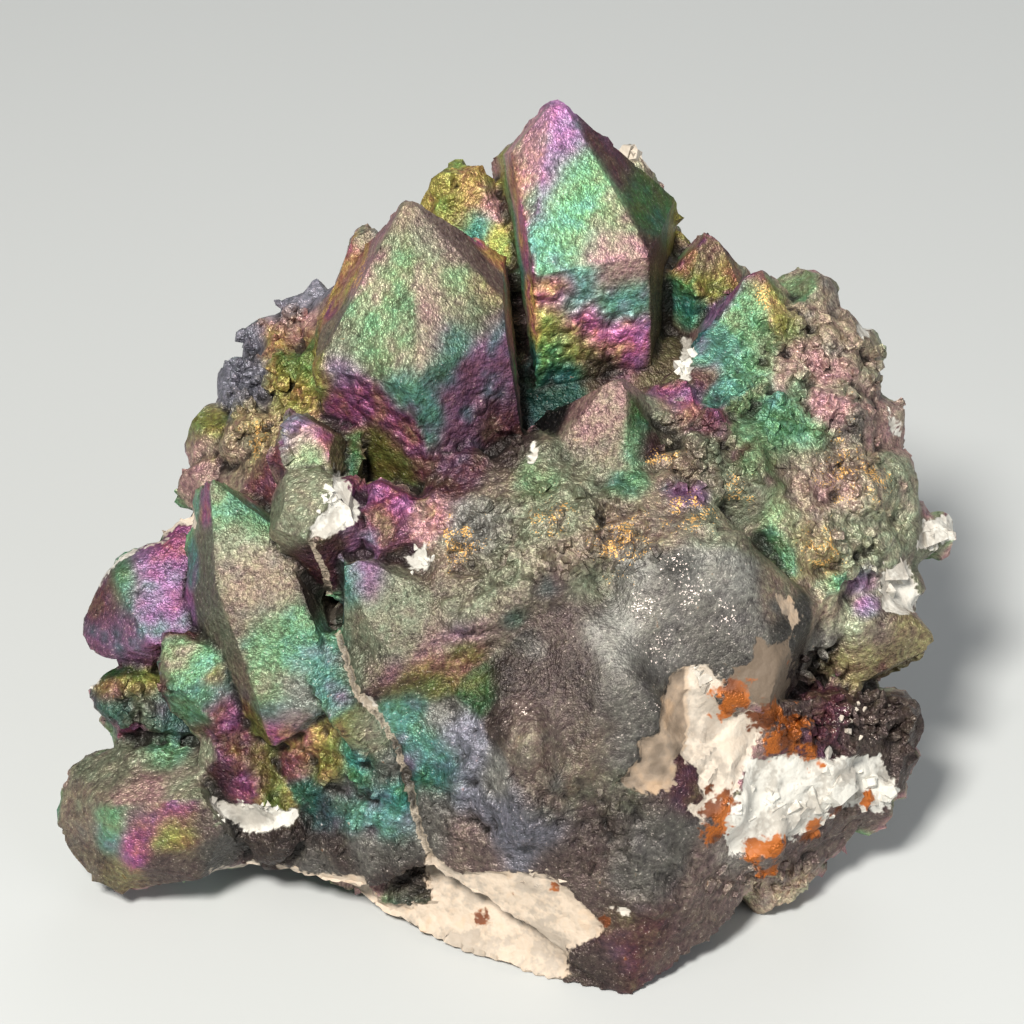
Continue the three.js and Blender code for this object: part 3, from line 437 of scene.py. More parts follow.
        (17.8, -11.6, 0.9, Tint.BROWN, 0.4), (19.2, -12.8, 1.1, Tint.CRIMSON, 0.3),
        (21.6, -13.0, 1.1, Tint.BROWN, 0.35), (23.4, -12.8, 1.0, Tint.BROWN, 0.3),
        (23.4, -15.0, 0.8, Tint.BROWN, 0.3), (21.0, -18.4, 0.9, Tint.BROWN, 0.5),
        (18.8, -20.4, 0.9, Tint.BROWN, 0.5), (17.2, -21.6, 0.9, Tint.BROWN, 0.6),
    ),
}


# How much brighter or darker than its spots say a whole patch is: partly the coating's own lightness, partly
# painted light and shade for how lit or shaded the patch stands.
PATCH_TONE_AND_PAINTED_LIGHT: dict[str, float] = {
    "crown, prism": 1.25, "crown, right faces": 0.85, "crown, left edge": 1.5,
    "left crown, right face": 1.4, "left crown, prism": 0.8, "shoulder behind the left crown": 0.9,
    "rough left flank": 1.35, "magenta knobs": 1.15, "long crystal on the left": 0.8,
    "far left crystal": 0.72, "stub under the far left crystal": 0.6, "small green crystal": 0.78,
    "prism in the valley": 0.8, "foot crystal": 0.87, "grey crystal in the middle": 0.64,
    "shelf": 0.92, "brown curtain": 0.76, "pink ridge": 0.45, "hollow under the ridge": 0.6,
    "boss": 0.95, "tent": 0.74, "folds behind the crown": 0.65, "mauve knobs": 1.3,
    "golden right side": 1.35, "dark crystal at the right": 1.7,
}


@dataclass(frozen=True)
class Break:
    """A place where the coating is gone and the quartz under it shows.

    Args:
        outline: corners of the bare place on the front, in mm.
        whiteness: -0.5 for smoky clear quartz, 0 for cream quartz and 1 for snow-white quartz.
        depth: how far the quartz lies under the coating, in mm.
    """

    outline: tuple[tuple[float, float], ...]
    whiteness: float
    depth: float = 0.3


BREAKS: dict[str, Break] = {
    "cream face": Break((
        (10.2, -9.5), (12.0, -9.2), (13.0, -10.6), (12.3, -11.2), (13.0, -12.5), (14.6, -12.0),
        (15.4, -13.0), (14.6, -14.6), (13.6, -17.0), (11.5, -19.0), (10.6, -18.0), (11.6, -17.4),
        (11.2, -15.6), (10.1, -14.6), (10.2, -13.0),
    ), 0.45),
    "dull side of the cream face": Break((
        (10.6, -9.3), (11.4, -10.6), (11.2, -14.4), (9.8, -15.2), (10.2, -16.6), (8.5, -17.1),
        (6.3, -16.5), (7.6, -15.0), (7.7, -13.8), (8.9, -13.4), (9.2, -11.0), (9.6, -9.9),
    ), -0.34),
    "white mass": Break((
        (14.2, -15.0), (16.5, -14.7), (18.5, -14.8), (22.3, -14.8), (23.0, -16.0), (23.8, -17.2),
        (22.2, -18.4), (21.0, -17.8), (19.3, -18.1), (18.8, -19.3), (16.6, -19.9), (15.4, -20.2),
        (15.8, -21.0), (13.2, -20.8), (12.7, -19.5), (13.0, -17.9), (13.9, -16.8),
    ), 0.95, 0.2),
    "cream underside": Break((
        (-14.4, -21.4), (-12.0, -22.0), (-9.0, -22.1), (-8.7, -22.7), (-8.0, -23.7), (-6.4, -23.8),
        (-4.9, -23.6), (-5.3, -21.2), (-4.9, -20.8), (-3.5, -21.8), (0.0, -21.9), (2.0, -22.0),
        (3.5, -23.0), (5.7, -25.2), (5.0, -26.0), (3.3, -26.6), (3.4, -27.6), (2.5, -29.5),
        (-0.5, -29.0), (-6.0, -27.0), (-13.0, -25.5),
    ), 0.3, 0.35),
    "window in the boss": Break((
        (14.8, -7.4), (15.6, -8.2), (16.8, -7.6), (17.0, -9.4), (16.8, -11.2), (15.6, -12.2),
        (14.2, -11.2), (13.0, -10.2), (13.6, -9.4), (14.6, -9.0),
    ), -0.7, 0.15),
    "beige edge of the boss": Break((
        (16.0, -5.0), (16.8, -5.2), (17.6, -6.6), (17.0, -7.0), (16.4, -6.2),
    ), -0.2, 0.1),
    "broken side of the block": Break((
        (-10.7, 2.9), (-9.9, 1.9), (-9.2, 0.7), (-9.3, -0.6), (-10.6, -1.3), (-12.2, -1.7),
        (-12.2, -0.9), (-11.0, 0.4),
    ), 1.0, 0.25),
    "white ledge over the foot": Break((
        (-18.5, -17.2), (-16.6, -17.6), (-15.0, -17.9), (-13.1, -18.1), (-12.9, -18.7),
        (-14.5, -19.3), (-16.2, -19.3), (-17.6, -18.4),
    ), 1.0, 0.15),
    "cream edge of the foot": Break((
        (-18.2, -21.7), (-16.0, -21.3), (-15.2, -21.2), (-15.5, -22.4), (-18.6, -22.8),
    ), 0.4, 0.15),
    "chip by the magenta knobs": Break((
        (-6.6, -2.8), (-5.4, -2.0), (-5.0, -2.8), (-5.4, -3.8),
    ), 0.9, 0.15),
    "peach edge of the far left crystal": Break((
        (-22.0, -1.9), (-21.4, -0.6), (-20.6, 0.3), (-19.3, 0.2), (-19.1, -0.9), (-20.3, -0.8),
        (-21.2, -1.7),
    ), 0.45, 0.15),
    "pale rim of the far left crystal": Break((
        (-26.2, -5.0), (-25.2, -3.0), (-23.0, -1.8), (-22.3, -2.0), (-23.6, -2.8), (-24.5, -3.6),
        (-25.3, -4.9),
    ), 0.85, 0.1),
    "pale rim of the stub": Break((
        (-25.9, -9.6), (-25.3, -8.5), (-24.9, -8.9), (-25.0, -10.4), (-25.8, -10.6),
    ), 0.7, 0.1),
    "chip at the right edge": Break((
        (24.5, -2.2), (25.0, -0.6), (26.6, -0.1), (27.2, -1.4), (25.4, -2.3),
    ), 0.95, 0.1),
    "broken facet at the right": Break((
        (22.4, -3.9), (23.9, -2.9), (25.2, -5.8), (23.6, -6.2), (22.4, -6.0),
    ), 0.8, 0.15),
    "chip of the mauve knobs": Break(((22.8, 6.4), (23.3, 5.6), (23.6, 4.6), (22.9, 4.9)), 0.95, 0.1),
    "upper chip of the mauve knobs": Break((
        (20.9, 11.5), (21.6, 11.6), (21.7, 10.7), (21.0, 10.6),
    ), 0.95, 0.1),
    "pale point behind the crown": Break((
        (6.2, 23.2), (7.4, 24.0), (8.9, 22.6), (8.4, 20.6), (7.4, 22.0),
    ), 0.5, 0.1),
    "flake in the right crevice": Break(((10.2, 10.6), (10.9, 10.6), (10.9, 8.0), (10.2, 8.0)), 0.8, 0.1),
    "flake in the middle crevice": Break(((0.9, 3.0), (1.3, 4.3), (1.7, 3.9), (1.3, 2.9)), 0.8, 0.1),
    "flake on the crack": Break(((-9.6, -10.9), (-8.0, -11.3), (-8.1, -12.1), (-9.0, -11.9)), 0.7, 0.1),
    "sliver near the foot": Break(((5.3, -24.0), (7.1, -24.3), (7.2, -24.0), (6.2, -23.9)), 0.6, 0.1),
}

DEEPEST_BREAK = max(piece.depth for piece in BREAKS.values())

# Each zone from here on is a place to the right and up the slope, and a radius, all in mm.
# The orange rust stains.
RUST_SPOTS = (
    (13.6, -11.5, 1.2), (13.2, -12.4, 0.7), (16.2, -12.5, 1.3), (17.2, -13.5, 1.3), (16.2, -14.4, 0.9),
    (12.4, -18.7, 1.0), (12.3, -20.0, 0.9), (13.4, -17.2, 0.7), (16.6, -20.6, 1.2), (18.5, -19.9, 1.0),
    (20.2, -18.4, 0.9), (21.9, -18.2, 0.7), (14.9, -21.2, 0.9), (15.8, -22.2, 0.8), (-2.3, -24.6, 0.5),
    (2.0, -23.3, 0.5), (5.4, -25.3, 0.5), (18.6, -14.6, 0.9), (12.6, -16.6, 0.4),
)

# Patches of painted glints: pale specks that stand for light caught by tiny grains.
PAINTED_GLINT_ZONES = (
    (9.8, -3.8, 1.8), (7.6, -5.6, 1.6), (11.6, -5.0, 2.2), (13.4, -6.6, 1.6), (9.4, -8.4, 2.0),
    (20.4, -12.8, 2.0), (22.4, -13.6, 1.6), (8.8, -12.2, 1.0), (15.8, -8.6, 0.7), (1.2, -11.6, 1.0),
)

# Gold flecks.
FLECK_ZONES = (
    (6.5, -1.2, 2.6), (10.8, 0.4, 2.4), (-3.2, -1.2, 2.0), (20.4, 3.0, 2.6), (19.0, -1.6, 2.2),
    (2.2, 0.2, 2.0), (-9.8, 14.6, 1.8), (13.8, 0.6, 1.6), (-16.0, 4.6, 2.0), (15.8, 13.4, 1.4),
    (-11.6, 12.6, 1.4), (9.6, 3.6, 1.6), (22.6, 2.2, 1.8),
)

# Humps that are worn smooth.
WORN_ZONES = (
    (10.0, -4.0, 4.2), (6.0, -2.0, 4.0), (1.0, -1.5, 3.6), (13.5, -6.5, 3.4), (8.0, -8.0, 3.4),
    (12.0, -15.4, 2.6), (13.0, -13.4, 1.8), (0.0, -13.0, 3.0), (-3.0, -16.0, 3.0), (4.0, -15.0, 4.0),
    (6.0, -21.0, 4.0), (-9.0, -17.0, 3.0), (2.0, -8.0, 2.0), (12.0, -22.0, 3.0), (21.0, 2.0, 3.0),
    (22.0, -2.0, 3.0), (-5.0, -10.0, 2.0),
)

# Where the seams of the solid are smoothed away.
FILLED_ZONES = (
    (12.2, -14.2, 1.8), (12.0, -16.4, 1.8), (13.4, -15.4, 1.2), (-3.6, -21.6, 1.4), (-1.6, -22.6, 1.4),
    (0.4, -23.8, 1.4), (2.2, -25.0, 1.4),
)

# Balls that fill a notch of the solid beside the cream face: their middles in the part and radii, in mm.
PLUGS = (
    (11.8, -13.6, 12.9, 2.1), (12.0, -13.8, 11.9, 2.2), (12.4, -14.7, 10.8, 2.1), (12.6, -15.4, 9.8, 1.9),
)

# Rough crust with folds, lumps and pits.
RUGGED_ZONES = (
    (19.0, 10.5, 3.6), (21.0, 6.0, 3.6), (21.0, 1.5, 4.4), (21.5, -3.0, 3.4), (11.8, 3.8, 3.0),
    (-14.8, 9.0, 4.0), (-16.4, 4.6, 3.0), (-1.5, -1.5, 4.6), (5.5, 0.0, 3.6), (12.5, 0.0, 2.6),
    (-3.0, -13.0, 2.6), (-3.0, -18.0, 3.4), (-10.0, -17.0, 4.0), (6.0, -20.0, 2.6), (2.0, -18.0, 2.0),
    (10.0, -23.0, 3.2), (20.0, -13.0, 3.6), (-22.5, -12.5, 2.4), (-3.6, 20.2, 2.0), (16.5, 8.0, 4.0),
    (17.5, -21.5, 2.6), (-13.0, -19.5, 3.0), (-5.0, -23.0, 4.0),
)

# Where the coating's grain is finer and flatter than elsewhere.
EVEN_ZONES = (
    (9.0, -4.6, 3.4), (12.6, -5.6, 3.2), (8.6, -9.0, 3.0), (5.4, -7.4, 2.6), (6.4, -12.6, 2.6),
    (2.0, -13.0, 2.6), (6.2, -16.4, 2.6), (9.0, -21.0, 3.0), (9.0, -26.0, 3.0), (4.0, -4.0, 2.0),
)

# Small scales that lie side by side.
SCALY_ZONES = (
    (2.4, 13.0, 2.0), (4.6, 11.4, 2.2), (6.8, 11.0, 1.8), (3.4, 9.6, 2.0), (1.6, 8.0, 1.6), (5.8, 8.8, 1.4),
    (-9.0, 6.4, 2.2), (-6.6, 4.4, 2.0), (-4.0, 3.4, 1.6), (-1.4, 6.0, 1.8), (-16.8, -13.4, 1.8),
    (-15.0, -16.0, 1.8), (-8.2, 0.4, 1.6), (-5.8, 0.4, 1.4), (-23.4, -10.6, 1.4), (-13.0, -14.6, 1.4),
    (-3.4, -7.8, 1.4), (12.0, 7.0, 1.6), (11.8, 13.8, 1.6), (-22.4, -12.6, 1.4),
)

# The crack's course down the front, as places to the right and up the slope, in mm.
CRACK = (
    (-12.2, -2.0), (-11.4, -3.6), (-11.0, -6.0), (-10.2, -8.6), (-9.5, -10.9), (-8.0, -12.5),
    (-7.0, -14.2), (-6.3, -16.5), (-5.7, -19.2), (-5.0, -20.9),
)

# Raised streaks: their place and radius in mm, the way they run in degrees, and their width in mm.
FACE_STREAKS = (12.6, -14.8, 2.6, 59.0, 0.7)
CURTAIN_STREAKS = ((2.6, -12.6, 3.6, 78.0, 1.7), (5.0, -19.0, 4.6, 120.0, 1.7))


def outline_reach(spots: np.ndarray, outline: tuple[tuple[float, float], ...]) -> np.ndarray:
    """Measures how far each spot lies inside an outline.

    Args:
        spots: places on the front, in mm, one per row.
        outline: the outline's corners, in mm.

    Returns:
        The distance to the outline in mm, positive inside it and negative outside.
    """
    nearest = np.full(len(spots), 1e9)
    inside = np.zeros(len(spots), bool)
    for start, end in zip(outline, outline[1:] + outline[:1]):
        nearest = np.minimum(nearest, stroke_distance(spots, start, end))
        low, high = (start, end) if start[1] < end[1] else (end, start)
        if low[1] == high[1]:
            continue
        crossing = low[0] + (spots[:, 1] - low[1]) * (high[0] - low[0]) / (high[1] - low[1])
        inside ^= (spots[:, 1] >= low[1]) & (spots[:, 1] < high[1]) & (spots[:, 0] < crossing)
    return np.where(inside, nearest, -nearest)


def stroke_distance(spots: np.ndarray, start: tuple[float, float], end: tuple[float, float]) -> np.ndarray:
    """Measures how far spots are from a straight stroke.

    Args:
        spots: places on the front, in mm, one per row.
        start: where the stroke starts.
        end: where it ends.

    Returns:
        Each spot's distance from the stroke, in mm.
    """
    along = np.array(end) - np.array(start)
    share = np.clip(((spots - start) @ along) / (along @ along), 0.0, 1.0)
    return np.linalg.norm(spots - start - share[:, None] * along, axis=1)


class Bench:
    """Small helpers for modelling with Blender's own tools."""

    @staticmethod
    def choose(piece: bpy.types.Object, test: Callable[[Vector, Vector], bool]) -> None:
        """Selects the faces that pass a test, and stays in edit mode.

        Args:
            piece: the active piece.
            test: says from a face's middle and its normal whether it is wanted.
        """
        bpy.ops.object.mode_set(mode="EDIT")
        bpy.ops.mesh.select_mode(type="FACE")
        bpy.ops.mesh.select_all(action="DESELECT")
        bpy.ops.object.mode_set(mode="OBJECT")
        for face in piece.data.polygons:
            face.select = test(face.center, face.normal)
        bpy.ops.object.mode_set(mode="EDIT")

    @staticmethod
    def pick(*pieces: bpy.types.Object) -> None:
        """Selects some pieces and nothing else.

        Args:
            pieces: the pieces, of which the first becomes the active one.
        """
        bpy.ops.object.select_all(action="DESELECT")
        for piece in pieces:
            piece.select_set(True)
        bpy.context.view_layer.objects.active = pieces[0]

    @staticmethod
    def finish(piece: bpy.types.Object, kind: str, **settings: object) -> None:
        """Adds a modifier of one kind to a piece and applies it.

        Args:
            piece: the piece to work on.
            kind: the modifier's type.
            settings: the modifier's own settings.
        """
        Bench.pick(piece)
        modifier = piece.modifiers.new(kind.lower(), kind)
        for name, value in settings.items():
            setattr(modifier, name, value)
        bpy.ops.object.modifier_apply(modifier=modifier.name)

    @staticmethod
    def weigh(piece: bpy.types.Object, name: str, weights: np.ndarray) -> None:
        """Stores weights as a vertex group, in even steps.

        Args:
            piece: the piece to work on.
            name: the group's name.
            weights: one weight for each vertex.
        """
        group = piece.vertex_groups.new(name=name)
        steps = np.round(np.clip(weights, 0.0, 1.0) * WEIGHT_STEPS).astype(int)
        for step in np.unique(steps):
            if step:
                group.add(np.flatnonzero(steps == step).tolist(), float(step) / WEIGHT_STEPS, "REPLACE")

    @staticmethod
    def note(piece: bpy.types.Object, name: str, values: np.ndarray) -> None:
        """Stores an attribute that a material can read.

        Args:
            piece: the piece to work on.
            name: the attribute's name.
            values: a number or a row of red, green and blue for each vertex.
        """
        if values.ndim == 2:
            layer = piece.data.attributes.new(name, "FLOAT_COLOR", "POINT")
            full = np.hstack([values, np.ones((len(values), 1))])
            layer.data.foreach_set("color", full.astype(np.float32).ravel())
        else:
            layer = piece.data.attributes.new(name, "FLOAT", "POINT")
            layer.data.foreach_set("value", values.astype(np.float32))

    @staticmethod
    def places(piece: bpy.types.Object) -> np.ndarray:
        """Reads where a piece's vertices are.

        Args:
            piece: the piece to read.

        Returns:
            A row of x, y and z in metres for each vertex.
        """
        flat = np.zeros(len(piece.data.vertices) * 3, np.float32)
        piece.data.vertices.foreach_get("co", flat)
        return flat.reshape(-1, 3).astype(float)

    @staticmethod
    def normals(piece: bpy.types.Object) -> np.ndarray:
        """Reads which way a piece's vertices face.

        Args:
            piece: the piece to read.

        Returns:
            A row with the normal of each vertex.
        """
        flat = np.zeros(len(piece.data.vertices) * 3, np.float32)
        piece.data.vertex_normals.foreach_get("vector", flat)
        return flat.reshape(-1, 3).astype(float)

    @staticmethod
    def edges(piece: bpy.types.Object) -> np.ndarray:
        """Reads what a piece's edges join.

        Args:
            piece: the piece to read.

        Returns:
            A row with the numbers of two vertices for each edge.
        """
        flat = np.zeros(len(piece.data.edges) * 2, np.int32)
        piece.data.edges.foreach_get("vertices", flat)
        return flat.reshape(-1, 2)


@dataclass
class Relief:
    """One layer of relief: a procedural texture and how far it lifts the surface.

    Args:
        name: the layer's name, which its texture carries.
        kind: Blender's texture type.
        grain: the size of the texture's features, in mm.
        height: how far the surface moves, in mm.
        group: the vertex group that says where.
        settings: the texture's further settings.
    """

    name: str
    kind: str
    grain: float
    height: float
    group: str
    settings: dict[str, object] = field(default_factory=dict)

    def press(self, piece: bpy.types.Object) -> None:
        """Lifts and sinks a surface by this layer.

        Args:
            piece: the piece to work on.
        """
        texture = bpy.data.textures.new(self.name, self.kind)
        texture.noise_scale = self.grain * MM
        for name, value in self.settings.items():
            setattr(texture, name, value)
        Bench.finish(
            piece, "DISPLACE", texture=texture, texture_coords="LOCAL", strength=self.height * MM,
            mid_level=0.5, vertex_group=self.group,
        )


class Form(Enum):
    """The small pieces that stand on the stone."""

    POINT = "a small crystal with a point"
    SPLINTER = "a broken piece with flat faces"
    CRUMB = "a low crumb of the coating"


@dataclass(frozen=True)
class Growth:
    """A patch of small crystals or splinters on the stone.

    Args:
        form: what stands there.
        middle: the patch's middle on the front, in mm.
        spread: its half width and half height, in mm.
        count: how many pieces there are.
        size: the longest piece's length, in mm.
        whiteness: how white they are where they are bare quartz, or None where they are coated.
        tilt: how far they lean from the surface, as a share of their length.
        buried: the share of a piece's length that is inside the stone.
    """

    form: Form
    middle: tuple[float, float]
    spread: tuple[float, float]
    count: int
    size: float
    whiteness: float | None = None
    tilt: float = 0.4
    buried: float = 0.45


GROWTHS: dict[str, Growth] = {
    "white mass, large": Growth(Form.CRUMB, (17.4, -17.2), (3.0, 1.3), 9, 4.0, 0.95, 0.3, 0.84),
    "white mass, small": Growth(Form.CRUMB, (17.6, -18.4), (4.0, 1.4), 16, 1.3, 1.0, 0.4, 0.76),
    "white mass, right end": Growth(Form.CRUMB, (22.2, -16.8), (1.2, 1.0), 12, 1.3, 1.0, 0.5, 0.68),
    "cream face, top": Growth(Form.SPLINTER, (11.6, -10.4), (0.8, 0.8), 4, 1.8, 0.7, 0.3, 0.78),
    "cream underside": Growth(Form.CRUMB, (1.2, -22.6), (2.4, 0.5), 8, 1.4, 0.35, 0.2, 0.84),
    "side of the block": Growth(Form.SPLINTER, (-10.6, 0.2), (0.7, 1.3), 18, 0.7, 1.0, 0.3, 0.74),
    "ledge over the foot": Growth(Form.SPLINTER, (-15.6, -18.3), (1.8, 0.3), 16, 0.7, 1.0, 0.3, 0.76),
    "right edge": Growth(Form.SPLINTER, (25.5, -1.3), (0.4, 0.4), 3, 2.6, 1.0, 0.3, 0.68),
    "facet at the right": Growth(Form.SPLINTER, (23.6, -4.4), (0.3, 0.6), 3, 4.0, 0.8, 0.2, 0.76),
    "pale point behind the crown": Growth(Form.SPLINTER, (7.4, 22.3), (0.2, 0.3), 3, 1.8, 0.5, 0.2, 0.6),
    "right crevice": Growth(Form.SPLINTER, (10.5, 9.4), (0.15, 1.1), 6, 1.1, 0.9, 0.2, 0.66),
    "magenta knobs": Growth(Form.SPLINTER, (-5.7, -2.8), (0.4, 0.6), 6, 0.9, 0.9, 0.5, 0.6),
    "dark druse, top": Growth(Form.POINT, (18.6, -9.6), (1.2, 0.8), 16, 1.6, None, 0.5),
    "dark druse, right": Growth(Form.POINT, (21.6, -12.2), (2.2, 1.8), 50, 1.6, None, 0.6),
    "dark druse, white points": Growth(Form.SPLINTER, (22.0, -12.8), (2.0, 1.6), 14, 0.7, 0.5, 0.6, 0.45),
    "dark druse, left": Growth(Form.POINT, (18.2, -13.0), (1.4, 1.2), 20, 1.5, None, 0.6),
    "dark druse, edge": Growth(Form.POINT, (23.8, -13.4), (0.5, 1.8), 14, 2.0, None, 0.4),
    "druse of the left flank": Growth(Form.POINT, (-16.6, 8.0), (1.0, 1.6), 36, 1.3, None, 0.5),
    "left flank, top": Growth(Form.POINT, (-13.6, 11.6), (1.2, 1.6), 18, 1.1, None, 0.5),
    "crevice under the crown": Growth(Form.POINT, (0.0, 4.4), (1.4, 0.6), 12, 1.1, None, 0.5),
    "crumbs, left flank": Growth(Form.CRUMB, (-15.2, 7.6), (2.4, 5.4), 90, 1.3, None, 0.5, 0.6),
    "crumbs, mauve knobs": Growth(Form.CRUMB, (20.2, 8.8), (3.4, 4.6), 100, 1.0, None, 0.8, 0.6),
    "crumbs, green wall": Growth(Form.CRUMB, (15.6, 7.0), (2.6, 5.6), 80, 1.1, None, 0.5, 0.62),
    "crumbs, golden side": Growth(Form.CRUMB, (21.0, 0.6), (3.8, 4.4), 100, 0.9, None, 0.8, 0.62),
    "crumbs, valley": Growth(Form.CRUMB, (11.8, 3.8), (2.6, 2.6), 70, 1.1, None, 0.5, 0.56),
    "crumbs, shelf": Growth(Form.CRUMB, (2.6, -1.2), (6.4, 3.0), 110, 1.2, None, 0.5, 0.66),
    "crumbs, curtain": Growth(Form.CRUMB, (5.0, -19.0), (6.4, 6.0), 36, 1.2, None, 0.4, 0.76),
    "crumbs, right foot": Growth(Form.CRUMB, (15.6, -22.4), (3.4, 1.6), 40, 1.2, None, 0.5, 0.6),
    "crumbs, lower left folds": Growth(Form.CRUMB, (-9.6, -18.0), (4.4, 4.0), 60, 1.1, None, 0.4, 0.7),
    "crumbs, stub": Growth(Form.CRUMB, (-22.6, -12.0), (2.4, 2.0), 30, 1.0, None, 0.5, 0.6),
}


@dataclass
class SmallPieces:
    """The small crystals, splinters and crumbs, each modelled once and set out in patches.

    Args:
        slimness: a small crystal's width as a share of its length.
        prism_share: how much of a small crystal's length is its prism.
        tip_share: how much of its length is its point.
        splinter_size: a splinter's sides, as shares of its length.
        crumb_size: a crumb's sides, as shares of its length.
        shortest: the shortest piece of a patch, as a share of the longest.
        clear_of_break: how far outside a break a coated piece has to stand, in mm.
    """

    slimness: float = 0.5
    prism_share: float = 0.65
    tip_share: float = 0.3
    splinter_size: tuple[float, float, float] = (0.75, 0.5, 1.0)
    crumb_size: tuple[float, float, float] = (0.9, 0.62, 0.8)
    shortest: float = 0.45
    clear_of_break: float = 0.4

    def models(self) -> dict[Form, bpy.types.Object]:
        """Models one piece of each form, about 1 m long, round the part's origin.

        Returns:
            The piece for each form.
        """
        crumb = self.model_broken(self.crumb_size)
        point = self.model_point()
        return {Form.POINT: point, Form.SPLINTER: self.model_broken(self.splinter_size), Form.CRUMB: crumb}

    def model_point(self) -> bpy.types.Object:
        """Models a six-sided crystal that ends in a point.

        Returns:
            The crystal.
        """
        bpy.ops.object.select_all(action="DESELECT")
        bpy.ops.mesh.primitive_cylinder_add(
            vertices=6, radius=self.slimness / 2, depth=self.prism_share, end_fill_type="NGON",
        )
        piece = bpy.context.object
        Bench.choose(piece, lambda middle, normal: normal.z > 0.9)
        bpy.ops.mesh.extrude_region_move(TRANSFORM_OT_translate={"value": (0.0, 0.0, self.tip_share)})
        bpy.ops.transform.resize(value=(0.15, 0.3, 1.0))
        bpy.ops.object.mode_set(mode="OBJECT")
        return piece

    def model_broken(self, size: tuple[float, float, float]) -> bpy.types.Object:
        """Models a broken piece by cutting slanting faces off a block.

        Args:
            size: the block's sides, in metres.

        Returns:
            The broken piece.
        """
        bpy.ops.object.select_all(action="DESELECT")
        bpy.ops.mesh.primitive_cube_add(size=1.0)
        piece = bpy.context.object
        bpy.ops.object.mode_set(mode="EDIT")
        cuts = (
            ((0.13, 0.0, 0.3), (0.5, 0.3, 0.8)), ((-0.27, 0.0, 0.28), (-0.8, 0.2, 0.5)),
            ((0.0, -0.28, 0.1), (0.2, -0.9, 0.4)), ((0.4, 0.2, 0.0), (0.8, 0.5, -0.1)),
        )
        for place, normal in cuts:
            bpy.ops.mesh.select_all(action="SELECT")
            bpy.ops.mesh.bisect(plane_co=place, plane_no=normal, use_fill=True, clear_outer=True)
        bpy.ops.mesh.select_all(action="SELECT")
        bpy.ops.transform.resize(value=size, center_override=(0.0, 0.0, 0.0))
        bpy.ops.object.mode_set(mode="OBJECT")
        return piece

    def set_out(
        self, model: bpy.types.Object, growth: Growth, cluster: "QuartzCluster", seed: int,
    ) -> bpy.types.Object | None:
        """Copies a model over its patch of the stone.

        Args:
            model: the piece to copy.
            growth: the patch.
            cluster: the stone that it stands on.
            seed: the number that the patch's chances start from.

        Returns:
            The patch's pieces, joined, or None where the stone has nothing to stand on.
        """
        chance = random.Random(seed)
        pieces = []
        for _ in range(growth.count):
            angle = chance.uniform(0.0, math.tau)
            reach = math.sqrt(chance.random())
            x = growth.middle[0] + growth.spread[0] * reach * math.cos(angle)
            y = growth.middle[1] + growth.spread[1] * reach * math.sin(angle)
            lean = Vector([chance.gauss(0.0, growth.tilt) for _ in range(3)])
            length = growth.size * chance.uniform(self.shortest, 1.0) * MM
            turn = Matrix.Rotation(chance.uniform(0.0, math.tau), 4, "Z")
            index = cluster.anchor(x, y)
            if index is None:
                continue
            if growth.whiteness is None and cluster.fields["bare"][index] > -self.clear_of_break:
                continue
            outward = Vector(cluster.normal[index])
            place = Vector(cluster.place[index])
            axis = (outward + lean).normalized()
            place += axis * length * (0.5 - growth.buried)
            matrix = Matrix.Translation(place) @ axis.to_track_quat("Z", "Y").to_matrix().to_4x4() @ turn
            copy = bpy.data.objects.new("small_piece", model.data.copy())
            copy.data.transform(matrix @ Matrix.Scale(length, 4))
            bpy.context.scene.collection.objects.link(copy)
            pieces.append(copy)
        if not pieces:
            return None
        Bench.pick(*pieces)
        bpy.ops.object.join()
        return pieces[0]


